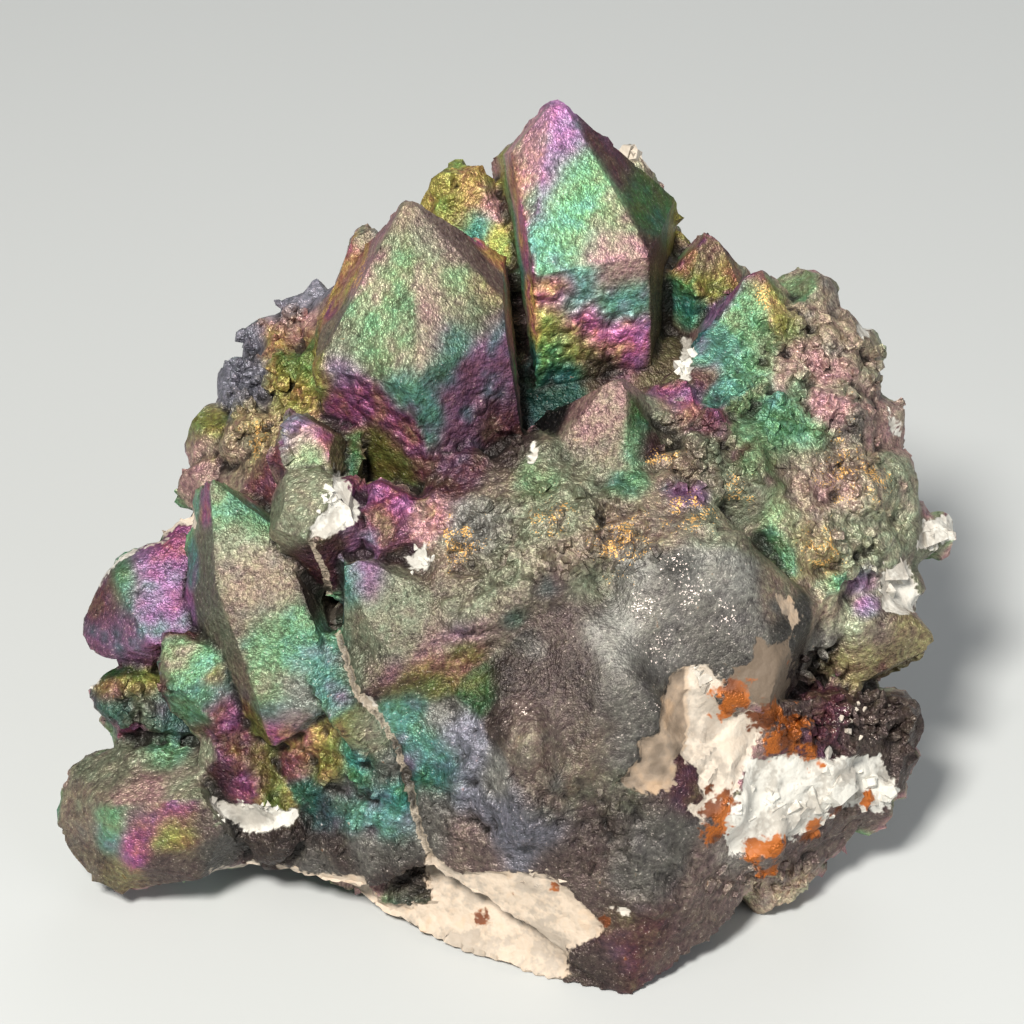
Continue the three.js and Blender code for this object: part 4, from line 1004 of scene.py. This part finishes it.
@dataclass
class QuartzCluster:
    """The whole stone: its fine surface over the solid, and where each finish shows on it.

    Args:
        voxel: the fine mesh's step, in mm.
        sharp_deg: the least turn between two faces that counts as a sharp edge, in degrees.
        anchor_reach: how far from a spot its vertex may be, in mm.
        facing_weight: how far off a surface at right angles counts, in mm.
        mark_step: the space between the marks along a sharp edge, in mm.
        break_depth: how far behind its foremost part a break still shows, in mm.
        spot_spread: how far each tinted spot spreads, as a share of its radius.
        smoothing: how far one smoothing pass moves a vertex, as a share.
        smoothing_passes: how many passes round a worn hump.
        smooth_deg: the largest turn between two faces that is shaded smooth, in degrees.
        streak_height: how far the streaks stand up, in mm.
        streak_stretch: how many times longer than wide a streak is.
        crack_reach: how far from its course the crack still sinks the surface, in mm.
        crack_depth: how deep the crack is, in mm.
        hollow_passes: how many edges away the ground round a hollow is averaged.
    """

    voxel: float = 0.36
    sharp_deg: float = 14.0
    anchor_reach: float = 0.6
    facing_weight: float = 2.2
    mark_step: float = 0.12
    break_depth: float = 7.0
    spot_spread: float = 1.1
    smoothing: float = 0.6
    smoothing_passes: int = 60
    smooth_deg: float = 27.0
    streak_height: float = 0.45
    streak_stretch: float = 4.3
    crack_reach: float = 0.42
    crack_depth: float = 0.3
    hollow_passes: int = 6

    def build(self) -> bpy.types.Object:
        """Models the stone.

        Returns:
            The stone with its relief, its small pieces and all that its material reads.
        """
        stone = self.fine_copy()
        self.read_surface(stone)
        self.wear(stone)
        self.read_surface(stone)
        self.mark_fields(stone)
        self.carve(stone)
        self.note_hollows(stone)
        self.read_surface(stone)
        Bench.pick(stone)
        bpy.ops.object.shade_smooth_by_angle(angle=math.radians(self.smooth_deg))
        self.add_growths(stone)
        return stone

    def fine_copy(self) -> bpy.types.Object:
        """Copies the solid's mesh, makes it one fine skin and draws that back onto its flat faces.

        Returns:
            The fine skin.
        """
        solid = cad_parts[NODE]
        stone = bpy.data.objects.new("coated_stone", solid.data.copy())
        bpy.context.scene.collection.objects.link(stone)
        Bench.pick(stone)
        bpy.ops.object.mode_set(mode="EDIT")
        bpy.ops.mesh.select_all(action="SELECT")
        bpy.ops.mesh.remove_doubles(threshold=0.002 * MM)
        for x, y, z, radius in PLUGS:
            middle = (x * MM, y * MM, z * MM)
            bpy.ops.mesh.primitive_ico_sphere_add(subdivisions=4, radius=radius * MM, location=middle)
        bpy.ops.object.mode_set(mode="OBJECT")
        form = bpy.data.objects.new("form", stone.data.copy())
        bpy.context.scene.collection.objects.link(form)
        Bench.finish(stone, "REMESH", mode="VOXEL", voxel_size=self.voxel * MM)
        for _ in range(2):
            Bench.finish(stone, "SHRINKWRAP", target=form, wrap_method="NEAREST_SURFACEPOINT")
            Bench.finish(stone, "SMOOTH", factor=0.4, iterations=1)
        Bench.finish(stone, "SHRINKWRAP", target=form, wrap_method="NEAREST_SURFACEPOINT")
        self.sharpen(stone, form)
        bpy.data.objects.remove(form)
        return stone

    def sharpen(self, stone: bpy.types.Object, form: bpy.types.Object) -> None:
        """Draws the vertices that lie beside a sharp edge of the solid onto that edge.

        Args:
            stone: the fine skin.
            form: the solid's own mesh.
        """
        sides: dict[tuple[int, int], list[Vector]] = {}
        for face in form.data.polygons:
            for pair in face.edge_keys:
                sides.setdefault(pair, []).append(face.normal)
        marks = []
        for (first, second), normals in sides.items():
            if len(normals) == 2 and normals[0].dot(normals[1]) < math.cos(math.radians(self.sharp_deg)):
                start = form.data.vertices[first].co
                end = form.data.vertices[second].co
                steps = max(1, math.ceil((end - start).length / (self.mark_step * MM)))
                marks += [start.lerp(end, step / steps) for step in range(steps + 1)]
        tree = kdtree.KDTree(len(marks))
        for index, mark in enumerate(marks):
            tree.insert(mark, index)
        tree.balance()
        for vertex in stone.data.vertices:
            place, _, gap = tree.find(vertex.co)
            if gap < self.voxel * 0.5 * MM:
                vertex.co = place

    def read_surface(self, stone: bpy.types.Object) -> None:
        """Keeps where the stone's vertices are, how they face and where they are seen.

        Args:
            stone: the fine skin, as it is now.
        """
        self.place = Bench.places(stone)
        self.normal = Bench.normals(stone)
        self.front_place = FRONT.to_front(self.place)
        self.spot = FRONT.sight(self.place)
        self.facing = self.normal @ FRONT.axes()[2]

    def anchor(self, x: float, y: float) -> int | None:
        """Finds the vertex that is foremost at a spot of the front.

        Args:
            x: the spot's place to the right, in mm.
            y: the spot's place up the slope, in mm.

        Returns:
            The vertex's index, or None where the stone has nothing at the spot.
        """
        close = np.hypot(self.spot[:, 0] - x, self.spot[:, 1] - y) < self.anchor_reach
        close &= self.facing > 0.0
        if not close.any():
            return None
        candidates = np.flatnonzero(close)
        return int(candidates[np.argmax(self.front_place[candidates, 2])])

    def nearness(self, x: float, y: float, radius: float, sided: bool = True) -> np.ndarray:
        """Says how near each vertex is to a spot of the front, from 0 to 1.

        Args:
            x: the spot's place to the right, in mm.
            y: the spot's place up the slope, in mm.
            radius: how far the spot spreads, in mm.
            sided: whether surfaces that face another way count as farther off.

        Returns:
            One number for each vertex.
        """
        index = self.anchor(x, y)
        if index is None:
            return np.zeros(len(self.place))
        gap = ((self.place - self.place[index]) / MM) ** 2
        off = gap.sum(axis=1)
        if sided:
            off += ((self.normal - self.normal[index]) ** 2).sum(axis=1) * self.facing_weight**2
        return np.exp(-off / (radius * self.spot_spread) ** 2)

    def strongest(self, zones: tuple[tuple[float, float, float], ...]) -> np.ndarray:
        """Returns, for each vertex, the highest of its nearnesses to the zones."""
        return np.max([self.nearness(x, y, radius, sided=False) for x, y, radius in zones], axis=0)

    def cloud(self, size: float) -> np.ndarray:
        """Returns soft noise about 0, with features of a size in mm, for each vertex."""
        places = self.place / (size * MM)
        return np.array([noise.noise(place) for place in places.tolist()])

    def wear(self, stone: bpy.types.Object) -> None:
        """Rounds the parts of the stone that are worn to soft humps, and smooths the filled ones.

        Args:
            stone: the fine skin.
        """
        for group, zones, weight in (("worn", WORN_ZONES, 1.3), ("filled", FILLED_ZONES, 1.6)):
            Bench.weigh(stone, group, self.strongest(zones) * weight)
            Bench.finish(
                stone, "SMOOTH", factor=self.smoothing, iterations=self.smoothing_passes, vertex_group=group,
            )

    def mark_fields(self, stone: bpy.types.Object) -> None:
        """Works out what shows where, and stores it on the stone.

        Args:
            stone: the fine skin.
        """
        bare, white, sunk = self.bare_fields()
        crack = np.min([stroke_distance(self.spot, a, b) for a, b in zip(CRACK, CRACK[1:])], axis=0)
        crack = np.where(self.facing > 0.0, ease(-crack, -self.crack_reach, -0.05), 0.0)
        rugged = np.maximum(self.strongest(RUGGED_ZONES), ease(-self.facing, -0.1, 0.3) * 0.8)
        off_floor = ease(self.place[:, 2] / MM, 0.1, 1.2)
        coated = ease(-bare, -0.2, 0.3)
        self.fields = {
            "tint": self.tint_field(), "bare": bare, "white": white, "crack": crack,
            "rust": self.strongest(RUST_SPOTS), "painted_glint_patches": self.strongest(PAINTED_GLINT_ZONES),
            "flecks": self.strongest(FLECK_ZONES), "scaly": self.strongest(SCALY_ZONES), "rough": rugged,
            "even": self.strongest(EVEN_ZONES),
        }
        for name, values in self.fields.items():
            Bench.note(stone, name, values)
        Bench.weigh(stone, "rugged", rugged * coated * off_floor)
        Bench.weigh(stone, "coated", coated * off_floor)
        Bench.weigh(stone, "broken", ease(bare, -0.1, 0.6) * off_floor * (0.4 + 0.6 * white))
        Bench.weigh(stone, "sunk", sunk * off_floor)
        Bench.weigh(stone, "crack", crack * off_floor)
        Bench.weigh(stone, "scaly", self.fields["scaly"] * coated * off_floor)
        face = self.streaks(*FACE_STREAKS) * ease(bare, 0.0, 0.4)
        curtain = np.max([self.streaks(*run) for run in CURTAIN_STREAKS], axis=0)
        Bench.weigh(stone, "streaks", np.maximum(face, curtain * coated * off_floor))

    def tint_field(self) -> np.ndarray:
        """Blends the tinted spots over the stone, with their brightness, which carries painted light and
        shade as well as the coating's own lightness.

        Returns:
            Red, green and blue for every vertex.
        """
        shift = self.cloud(1.7) * 0.17 + self.cloud(0.8) * 0.12
        side = self.normal[:, 0] * 0.35 + self.normal[:, 2] * 0.25
        ground = 3.0 + side + self.cloud(5.0) * 0.9
        total = np.full((len(self.place), 1), 1e-5)
        blend = total * film_colour(ground + shift) * 0.9
        for patch, spots in TINTED_SPOTS.items():
            # The patch's factor, like each spot's brightness, paints light and shade into the colour as well
            # as the coating's own lightness.
            light = PATCH_TONE_AND_PAINTED_LIGHT.get(patch, 1.0)
            for x, y, radius, tint, brightness in spots:
                weight = self.nearness(x, y, radius)[:, None]
                play = 0.15 if tint in DULL_TINTS else 1.0
                blend += weight * film_colour(tint.value[0] + shift * play) * brightness * light
                total += weight
        return blend / total

    def streaks(self, x: float, y: float, radius: float, direction_deg: float, width: float) -> np.ndarray:
        """Works out raised streaks that run one way over a spot of the front.

        Args:
            x: the spot's place to the right, in mm.
            y: the spot's place up the slope, in mm.
            radius: how far the streaks spread, in mm.
            direction_deg: which way they run, in degrees from the front's x axis.
            width: how wide a streak is, in mm.

        Returns:
            How high each vertex is raised, from 0 to 1.
        """
        turn = math.radians(direction_deg)
        along = self.spot @ (math.cos(turn), math.sin(turn)) / (width * self.streak_stretch)
        across = self.spot @ (-math.sin(turn), math.cos(turn)) / width
        lines = np.array([noise.noise((first, second, 0.0)) for first, second in zip(along, across)])
        return self.nearness(x, y, radius, sided=False) * ease(lines, -0.3, 0.35)

    def bare_fields(self) -> tuple[np.ndarray, np.ndarray, np.ndarray]:
        """Works out where the quartz is bare.

        Returns:
            How far inside a break each vertex is in mm, how white the quartz is there, and how
            far it is sunk as a share of the deepest break.
        """
        bare = np.full(len(self.place), -FAR_OUTSIDE)
        white = np.zeros(len(self.place))
        sunk = np.zeros(len(self.place))
        for piece in BREAKS.values():
            reach = outline_reach(self.spot, piece.outline)
            depth = self.front_place[:, 2]
            shown = depth[(reach > 0.0) & (self.facing > 0.2)]
            reach = np.where(depth > np.percentile(shown, 70.0) - self.break_depth, reach, -FAR_OUTSIDE)
            inner = reach > bare
            white = np.where(inner, piece.whiteness, white)
            sunk = np.maximum(sunk, ease(reach, -0.15, 0.25) * piece.depth / DEEPEST_BREAK)
            bare = np.maximum(bare, reach)
        return np.clip(bare, -FAR_OUTSIDE, FAR_OUTSIDE), white, sunk

    def carve(self, stone: bpy.types.Object) -> None:
        """Gives the surface its relief: folds, lumps and grain, sunk breaks and the crack.

        Args:
            stone: the fine skin with its vertex groups.
        """
        layers = (
            Relief("folds", "CLOUDS", 3.6, 1.0, "rugged", {"noise_depth": 1}),
            Relief("creases", "MUSGRAVE", 3.0, 0.5, "rugged", {"musgrave_type": "RIDGED_MULTIFRACTAL"}),
            Relief("lumps", "VORONOI", 1.9, -0.3, "rugged"),
            Relief("facets", "VORONOI", 1.5, 0.22, "rugged", {"distance_metric": "CHEBYCHEV"}),
            Relief("pits", "CLOUDS", 0.9, 1.1, "rugged", {"noise_depth": 3}),
            Relief("growth", "CLOUDS", 2.4, 0.14, "coated", {"noise_depth": 2}),
            Relief("grain", "CLOUDS", 0.9, 0.1, "coated", {"noise_depth": 2}),
            Relief("scales", "VORONOI", 0.9, -0.65, "scaly"),
            Relief("broken lumps", "CLOUDS", 1.9, 0.7, "broken", {"noise_depth": 1}),
            Relief("broken facets", "VORONOI", 2.2, 0.35, "broken", {"distance_metric": "CHEBYCHEV"}),
            Relief("broken grain", "CLOUDS", 0.7, 0.2, "broken", {"noise_depth": 2}),
        )
        for layer in layers:
            layer.press(stone)
        moves = {"sunk": -DEEPEST_BREAK, "streaks": self.streak_height, "crack": -self.crack_depth}
        for group, height in moves.items():
            Bench.finish(stone, "DISPLACE", strength=height * MM, mid_level=0.0, vertex_group=group)
        place = Bench.places(stone)
        place[:, 2] = np.maximum(place[:, 2], 0.0)
        stone.data.vertices.foreach_set("co", place.astype(np.float32).ravel())
        stone.data.update()

    def note_hollows(self, stone: bpy.types.Object) -> None:
        """Stores how deep each vertex lies in a hollow, over about 1 mm round it; the material paints shade
        into the hollows with it.

        Args:
            stone: the fine skin with its relief.
        """
        place = Bench.places(stone)
        normal = Bench.normals(stone)
        pairs = Bench.edges(stone)
        count = np.bincount(pairs.ravel(), minlength=len(place))[:, None]
        level = place.copy()
        for _ in range(self.hollow_passes):
            sums = np.zeros_like(level)
            np.add.at(sums, pairs[:, 0], level[pairs[:, 1]])
            np.add.at(sums, pairs[:, 1], level[pairs[:, 0]])
            level = sums / np.maximum(count, 1)
        depth = ((level - place) * normal).sum(axis=1) / MM
        Bench.note(stone, "hollow", depth)

    def add_growths(self, stone: bpy.types.Object) -> None:
        """Sets the small pieces on the stone and joins them to it.

        Args:
            stone: the fine skin with its relief.
        """
        tree = kdtree.KDTree(len(self.place))
        for index, place in enumerate(self.place):
            tree.insert(place, index)
        tree.balance()
        small = SmallPieces()
        models = small.models()
        patches = []
        for seed, (name, growth) in enumerate(GROWTHS.items()):
            patch = small.set_out(models[growth.form], growth, self, seed)
            if patch is None:
                LOG.warning("no room for: %s", name)
                continue
            near = np.array([tree.find(vertex.co)[1] for vertex in patch.data.vertices])
            for mark, values in self.fields.items():
                own = values[near]
                if mark == "bare":
                    own = np.full(len(near), -FAR_OUTSIDE if growth.whiteness is None else FAR_OUTSIDE)
                elif mark == "white" and growth.whiteness is not None:
                    own = np.full(len(near), growth.whiteness)
                Bench.note(patch, mark, own)
            Bench.note(patch, "hollow", np.zeros(len(near)))
            patches.append(patch)
        for model in models.values():
            bpy.data.objects.remove(model)
        Bench.pick(stone, *patches)
        bpy.ops.object.join()


class Signal:
    """A number in a material's nodes, which adds its Math nodes when it is used in an expression."""

    def __init__(self, nodes: "Nodes", socket: bpy.types.NodeSocket) -> None:
        """Wraps the output socket that carries the number."""
        self.nodes = nodes
        self.socket = socket

    def _join(self, operation: str, *values: object) -> "Signal":
        """Adds a Math node for an operation on the values."""
        made = self.nodes.add("ShaderNodeMath", {"operation": operation}, dict(enumerate(values)))
        return Signal(self.nodes, made.outputs[0])

    def __add__(self, other: object) -> "Signal":
        """Adds a value."""
        return self._join("ADD", self, other)

    def __mul__(self, other: object) -> "Signal":
        """Multiplies by a value."""
        return self._join("MULTIPLY", self, other)

    def __sub__(self, other: object) -> "Signal":
        """Takes a value away."""
        return self._join("SUBTRACT", self, other)

    def __rsub__(self, other: object) -> "Signal":
        """Takes this signal away from a value."""
        return self._join("SUBTRACT", other, self)

    __radd__ = __add__
    __rmul__ = __mul__

    def rise(self, low: float, high: float) -> "Signal":
        """Returns 0 at low and 1 at high with a smooth rise between, or a fall if high is lower."""
        made = self.nodes.add(
            "ShaderNodeMapRange", {"interpolation_type": "SMOOTHSTEP"},
            {"Value": self, "From Min": min(low, high), "From Max": max(low, high),
             "To Min": 0.0 if low < high else 1.0, "To Max": 1.0 if low < high else 0.0},
        )
        return Signal(self.nodes, made.outputs["Result"])


class Nodes:
    """The node tree of one material."""

    def __init__(self, name: str) -> None:
        """Starts a material with a Principled shader and the object's own coordinates.

        Args:
            name: the material's name.
        """
        self.material = bpy.data.materials.new(name)
        self.material.use_nodes = True
        self.tree = self.material.node_tree
        self.shader = self.tree.nodes["Principled BSDF"]
        self.place = self.add("ShaderNodeTexCoord").outputs["Object"]

    def add(
        self, kind: str, settings: dict[str, object] | None = None,
        inputs: dict[int | str, object] | None = None,
    ) -> bpy.types.Node:
        """Adds a node, sets it up and joins its inputs.

        Args:
            kind: the node's type.
            settings: its own settings, set first.
            inputs: the values of its inputs or what they are linked to, by name or number.

        Returns:
            The new node.
        """
        made = self.tree.nodes.new(kind)
        for name, value in (settings or {}).items():
            setattr(made, name, value)
        for name, value in (inputs or {}).items():
            self.join(made.inputs[name], value)
        return made

    def join(self, target: bpy.types.NodeSocket, value: object) -> None:
        """Links an input to a signal or socket, or sets it to a plain value.

        Args:
            target: the input.
            value: what it is to be.
        """
        source = value.socket if isinstance(value, Signal) else value
        if isinstance(source, bpy.types.NodeSocket):
            self.tree.links.new(source, target)
        else:
            target.default_value = source

    def attribute(self, name: str) -> Signal:
        """Reads a number that is stored on the mesh."""
        made = self.add("ShaderNodeAttribute", {"attribute_name": name})
        return Signal(self, made.outputs["Fac"])

    def tint(self, name: str) -> bpy.types.NodeSocket:
        """Reads a colour that is stored on the mesh."""
        return self.add("ShaderNodeAttribute", {"attribute_name": name}).outputs["Color"]

    def turn_hue(self, colour: bpy.types.NodeSocket, turn: Signal, value: Signal) -> bpy.types.NodeSocket:
        """Turns a colour's hue, where 0.5 leaves it, and multiplies its brightness."""
        made = self.add("ShaderNodeHueSaturation", None, {"Hue": turn, "Value": value, "Color": colour})
        return made.outputs[0]

    def noise(self, size: float) -> Signal:
        """Returns soft noise about 0.5 with features of a size in mm."""
        inputs = {"Vector": self.place, "Scale": 1.0 / (size * MM), "Detail": 1.0}
        return Signal(self, self.add("ShaderNodeTexNoise", None, inputs).outputs["Fac"])

    def cells(self, size: float) -> Signal:
        """Returns the distance to the nearest cell point, for cells of a size in mm."""
        inputs = {"Vector": self.place, "Scale": 1.0 / (size * MM)}
        return Signal(self, self.add("ShaderNodeTexVoronoi", None, inputs).outputs["Distance"])

    def mix(self, share: object, first: object, second: object) -> bpy.types.NodeSocket:
        """Mixes two colours by a share from 0 to 1."""
        made = self.add("ShaderNodeMix", {"data_type": "RGBA"}, {0: share, 6: first, 7: second})
        return made.outputs[2]


def opaque(red: float, green: float, blue: float) -> tuple[float, float, float, float]:
    """Returns a colour with no transparency."""
    return (red, green, blue, 1.0)


@dataclass(frozen=True)
class CoatedQuartz:
    """The stone's finish: a film of iron oxide in interference colours over milky quartz."""

    name: str = "coated_quartz"
    metallic: float = 0.5
    roughness: float = 0.36
    bump_strength: float = 0.85
    bump_height: float = 0.18
    cream: tuple = opaque(0.47, 0.36, 0.26)
    snow: tuple = opaque(0.6, 0.585, 0.53)
    clear: tuple = opaque(0.3, 0.27, 0.23)
    smoky: tuple = opaque(0.13, 0.095, 0.065)
    rust: tuple = opaque(0.36, 0.1, 0.012)
    dark_rust: tuple = opaque(0.13, 0.035, 0.008)
    amber: tuple = opaque(0.5, 0.29, 0.13)
    gold: tuple = opaque(0.72, 0.42, 0.14)
    glint: tuple = opaque(0.85, 0.72, 0.66)
    crack: tuple = opaque(0.4, 0.33, 0.25)
    # The near-black colour of the painted shade in the hollows.
    shade: tuple = opaque(0.012, 0.01, 0.009)

    def make(self) -> bpy.types.Material:
        """Builds the material.

        Returns:
            The coating and the bare quartz in one material.
        """
        nodes = Nodes(self.name)
        micro = nodes.noise(0.12)
        fine = nodes.noise(0.3)
        small = nodes.noise(0.8)
        wide = nodes.noise(2.2)
        edge = (small - 0.5) * 0.8 + (fine - 0.5) * 0.5
        bare = (nodes.attribute("bare") + edge).rise(-0.08, 0.1)
        pebbles = nodes.cells(0.36)
        coat = self.coat_colour(nodes, micro, fine, small, wide, pebbles)
        stone = self.bare_colour(nodes, fine, small, wide)
        colour = nodes.mix(bare, coat, stone)
        line = (nodes.attribute("crack") + (fine - 0.5) * 0.5).rise(0.5, 0.62)
        colour = nodes.mix(line * 0.8, colour, self.crack)
        # Hollows and creases are darkened towards near black: painted shade.
        hollow = nodes.attribute("hollow").rise(0.02, 0.27)
        colour = nodes.mix(hollow * (0.9 - bare * 0.6), colour, self.shade)
        even = nodes.attribute("even")
        nodes.join(nodes.shader.inputs["Base Color"], colour)
        nodes.join(nodes.shader.inputs["Metallic"], (1.0 - bare) * (1.0 - line) * self.metallic)
        nodes.join(nodes.shader.inputs["Roughness"], self.roughness + small * 0.2 + bare * 0.16 + even * 0.1)
        facets = nodes.cells(0.75)
        scales = nodes.attribute("scaly") * facets * 1.8
        crumble = nodes.attribute("rough") * (small * 1.6 + fine * 0.6 - facets * 0.85)
        coat_height = micro * 0.6 + fine * 0.5 + small * 0.3 - pebbles * 0.5 - scales * 1.7 + crumble
        bare_height = small * 0.5 + fine * 0.35 - facets * 0.6
        coat_height *= 1.0 - even * 0.55
        height = coat_height * (1.0 - bare) + bare_height * bare
        bump = nodes.add(
            "ShaderNodeBump", None,
            {"Strength": self.bump_strength, "Distance": self.bump_height * MM, "Height": height},
        )
        nodes.join(nodes.shader.inputs["Normal"], bump.outputs[0])
        return nodes.material

    def coat_colour(
        self, nodes: Nodes, micro: Signal, fine: Signal, small: Signal, wide: Signal, pebbles: Signal,
    ) -> bpy.types.NodeSocket:
        """Colours the coating, with its mottling, flecks and stains, and paints glints on it as pale specks.

        Args:
            nodes: the material's nodes.
            micro: noise of 0.12 mm.
            fine: noise of 0.3 mm.
            small: noise of 0.8 mm.
            wide: noise of 2.2 mm.
            pebbles: 0 in the middle of each grain of 0.36 mm, rising to its border.

        Returns:
            The coating's colour.
        """
        turn = 0.5 + (fine - 0.5) * 0.12 + (small - 0.5) * 0.08
        # Brightness mottles at random, the coating's own tone, and darkens towards each grain's border as
        # painted shade between the grains.
        value = -0.55 + micro * 1.0 + fine * 1.3 + wide * 0.7 + small * 0.6 - pebbles * 0.5
        colour = nodes.turn_hue(nodes.tint("tint"), turn, value)
        # Pale specks all over the coating: painted glints.
        painted_glints = (micro * 0.7 + fine * 0.3).rise(0.62, 0.74)
        colour = nodes.mix(painted_glints * 0.35, colour, self.glint)
        flecks = (nodes.attribute("flecks") * 0.28 + micro * 0.55 + small * 0.45).rise(0.79, 0.85)
        colour = nodes.mix(flecks, colour, self.gold)
        rust = (nodes.attribute("rust") + (small - 0.5) * 1.3 + (fine - 0.5) * 0.9).rise(0.4, 0.75)
        colour = nodes.mix(rust, colour, nodes.mix(wide.rise(0.4, 0.6), self.rust, self.dark_rust))
        # Denser painted glints in their own patches.
        painted_glint_patches = nodes.attribute("painted_glint_patches") * 0.26 + micro * 0.62 + fine * 0.25 + wide * 0.2
        return nodes.mix(painted_glint_patches.rise(0.875, 0.9), colour, self.glint)

    def bare_colour(self, nodes: Nodes, fine: Signal, small: Signal, wide: Signal) -> bpy.types.NodeSocket:
        """Colours the bare quartz, from clear over cream to white, with its rust stains.

        Args:
            nodes: the material's nodes.
            fine: noise of 0.3 mm.
            small: noise of 0.8 mm.
            wide: noise of 2.2 mm.

        Returns:
            The bare quartz's colour.
        """
        white = nodes.attribute("white") + (small - 0.5) * 0.4 + (wide - 0.5) * 0.5
        colour = nodes.mix(white.rise(0.0, 1.0), self.cream, self.snow)
        depth = (wide + fine * 0.4 + small * 0.3).rise(0.88, 0.72)
        colour = nodes.mix(depth * 0.6, colour, self.clear)
        stain = (wide * 0.6 + small * 0.4).rise(0.54, 0.66) * white.rise(0.95, 0.2)
        colour = nodes.mix(stain * 0.4, colour, self.amber)
        colour = nodes.mix(white.rise(0.0, -0.5), colour, self.smoky)
        rust = (nodes.attribute("rust") + (small - 0.5) * 1.4 + (fine - 0.5) * 0.8).rise(0.42, 0.7)
        return nodes.mix(rust, colour, nodes.mix(wide.rise(0.4, 0.6), self.rust, self.dark_rust))


@dataclass(frozen=True)
class Lamp:
    """A square soft light that points at the stone.

    Args:
        name: the light's name.
        place: where it hangs, in metres.
        size: the length of its side, in metres.
        power: its power in watts.
        colour: its colour.
    """

    name: str
    place: tuple[float, float, float]
    size: float
    power: float
    colour: tuple[float, float, float]


LAMPS = (
    Lamp("key", (-0.1, -0.27, 0.34), 0.08, 3.3, (1.0, 0.96, 0.9)),
    Lamp("fill", (0.36, -0.3, 0.2), 0.4, 0.7, (0.95, 0.97, 1.0)),
    Lamp("back", (0.1, 0.38, 0.3), 0.3, 0.5, (1.0, 1.0, 1.0)),
)


@dataclass(frozen=True)
class Studio:
    """The pale floor, the soft light and the camera, at the front's own angle."""

    floor_size: float = 1.6
    floor_depth: float = 0.0001
    floor_colour: tuple = opaque(0.5, 0.52, 0.52)
    floor_roughness: float = 0.7
    sky: tuple = opaque(0.17, 0.175, 0.18)
    aim: tuple[float, float, float] = (0.0, 0.0, 0.02)
    lens: float = 126.7
    sensor: float = 36.0

    def set_up(self) -> None:
        """Adds the floor, the lights and the camera."""
        self.lay_floor()
        for lamp in LAMPS:
            self.hang(lamp)
        world = bpy.data.worlds.new("studio")
        world.use_nodes = True
        world.node_tree.nodes["Background"].inputs["Color"].default_value = self.sky
        bpy.context.scene.world = world
        bpy.context.scene.view_settings.view_transform = "Standard"
        self.set_camera()

    def lay_floor(self) -> None:
        """Lays a pale floor under the stone."""
        bpy.ops.object.select_all(action="DESELECT")
        bpy.ops.mesh.primitive_plane_add(size=self.floor_size, location=(0.0, 0.0, -self.floor_depth))
        floor = bpy.context.object
        floor.name = "floor"
        nodes = Nodes("pale_floor")
        nodes.join(nodes.shader.inputs["Base Color"], self.floor_colour)
        nodes.join(nodes.shader.inputs["Roughness"], self.floor_roughness)
        floor.data.materials.append(nodes.material)

    def hang(self, lamp: Lamp) -> None:
        """Hangs a lamp and points it at the stone's middle.

        Args:
            lamp: the lamp.
        """
        light = bpy.data.lights.new(lamp.name, "AREA")
        light.size = lamp.size
        light.energy = lamp.power
        light.color = lamp.colour
        holder = bpy.data.objects.new(lamp.name, light)
        holder.location = lamp.place
        towards = Vector(self.aim) - Vector(lamp.place)
        holder.rotation_euler = towards.to_track_quat("-Z", "Y").to_euler()
        bpy.context.scene.collection.objects.link(holder)

    def set_camera(self) -> None:
        """Sets the camera square to the sloping front, at its viewing distance."""
        lens = bpy.data.cameras.new("camera")
        lens.lens = self.lens
        lens.sensor_width = self.sensor
        lens.clip_start = 0.01
        camera = bpy.data.objects.new("camera", lens)
        camera.location = FRONT.to_part([[0.0, 0.0, FRONT.viewing_distance]])[0]
        camera.rotation_euler = (math.radians(90.0 - FRONT.lean_deg), 0.0, 0.0)
        bpy.context.scene.collection.objects.link(camera)
        bpy.context.scene.camera = camera


def main() -> None:
    """Builds the stone, dresses it and sets up the studio."""
    logging.basicConfig(level=logging.INFO, format="%(message)s")
    Studio().set_up()
    stone = QuartzCluster().build()
    stone.data.materials.clear()
    stone.data.materials.append(CoatedQuartz().make())
    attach(stone, "root")
    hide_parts(NODE)
    LOG.info("stone: %d faces, %d vertices", len(stone.data.polygons), len(stone.data.vertices))


if __name__ == "__main__":
    main()
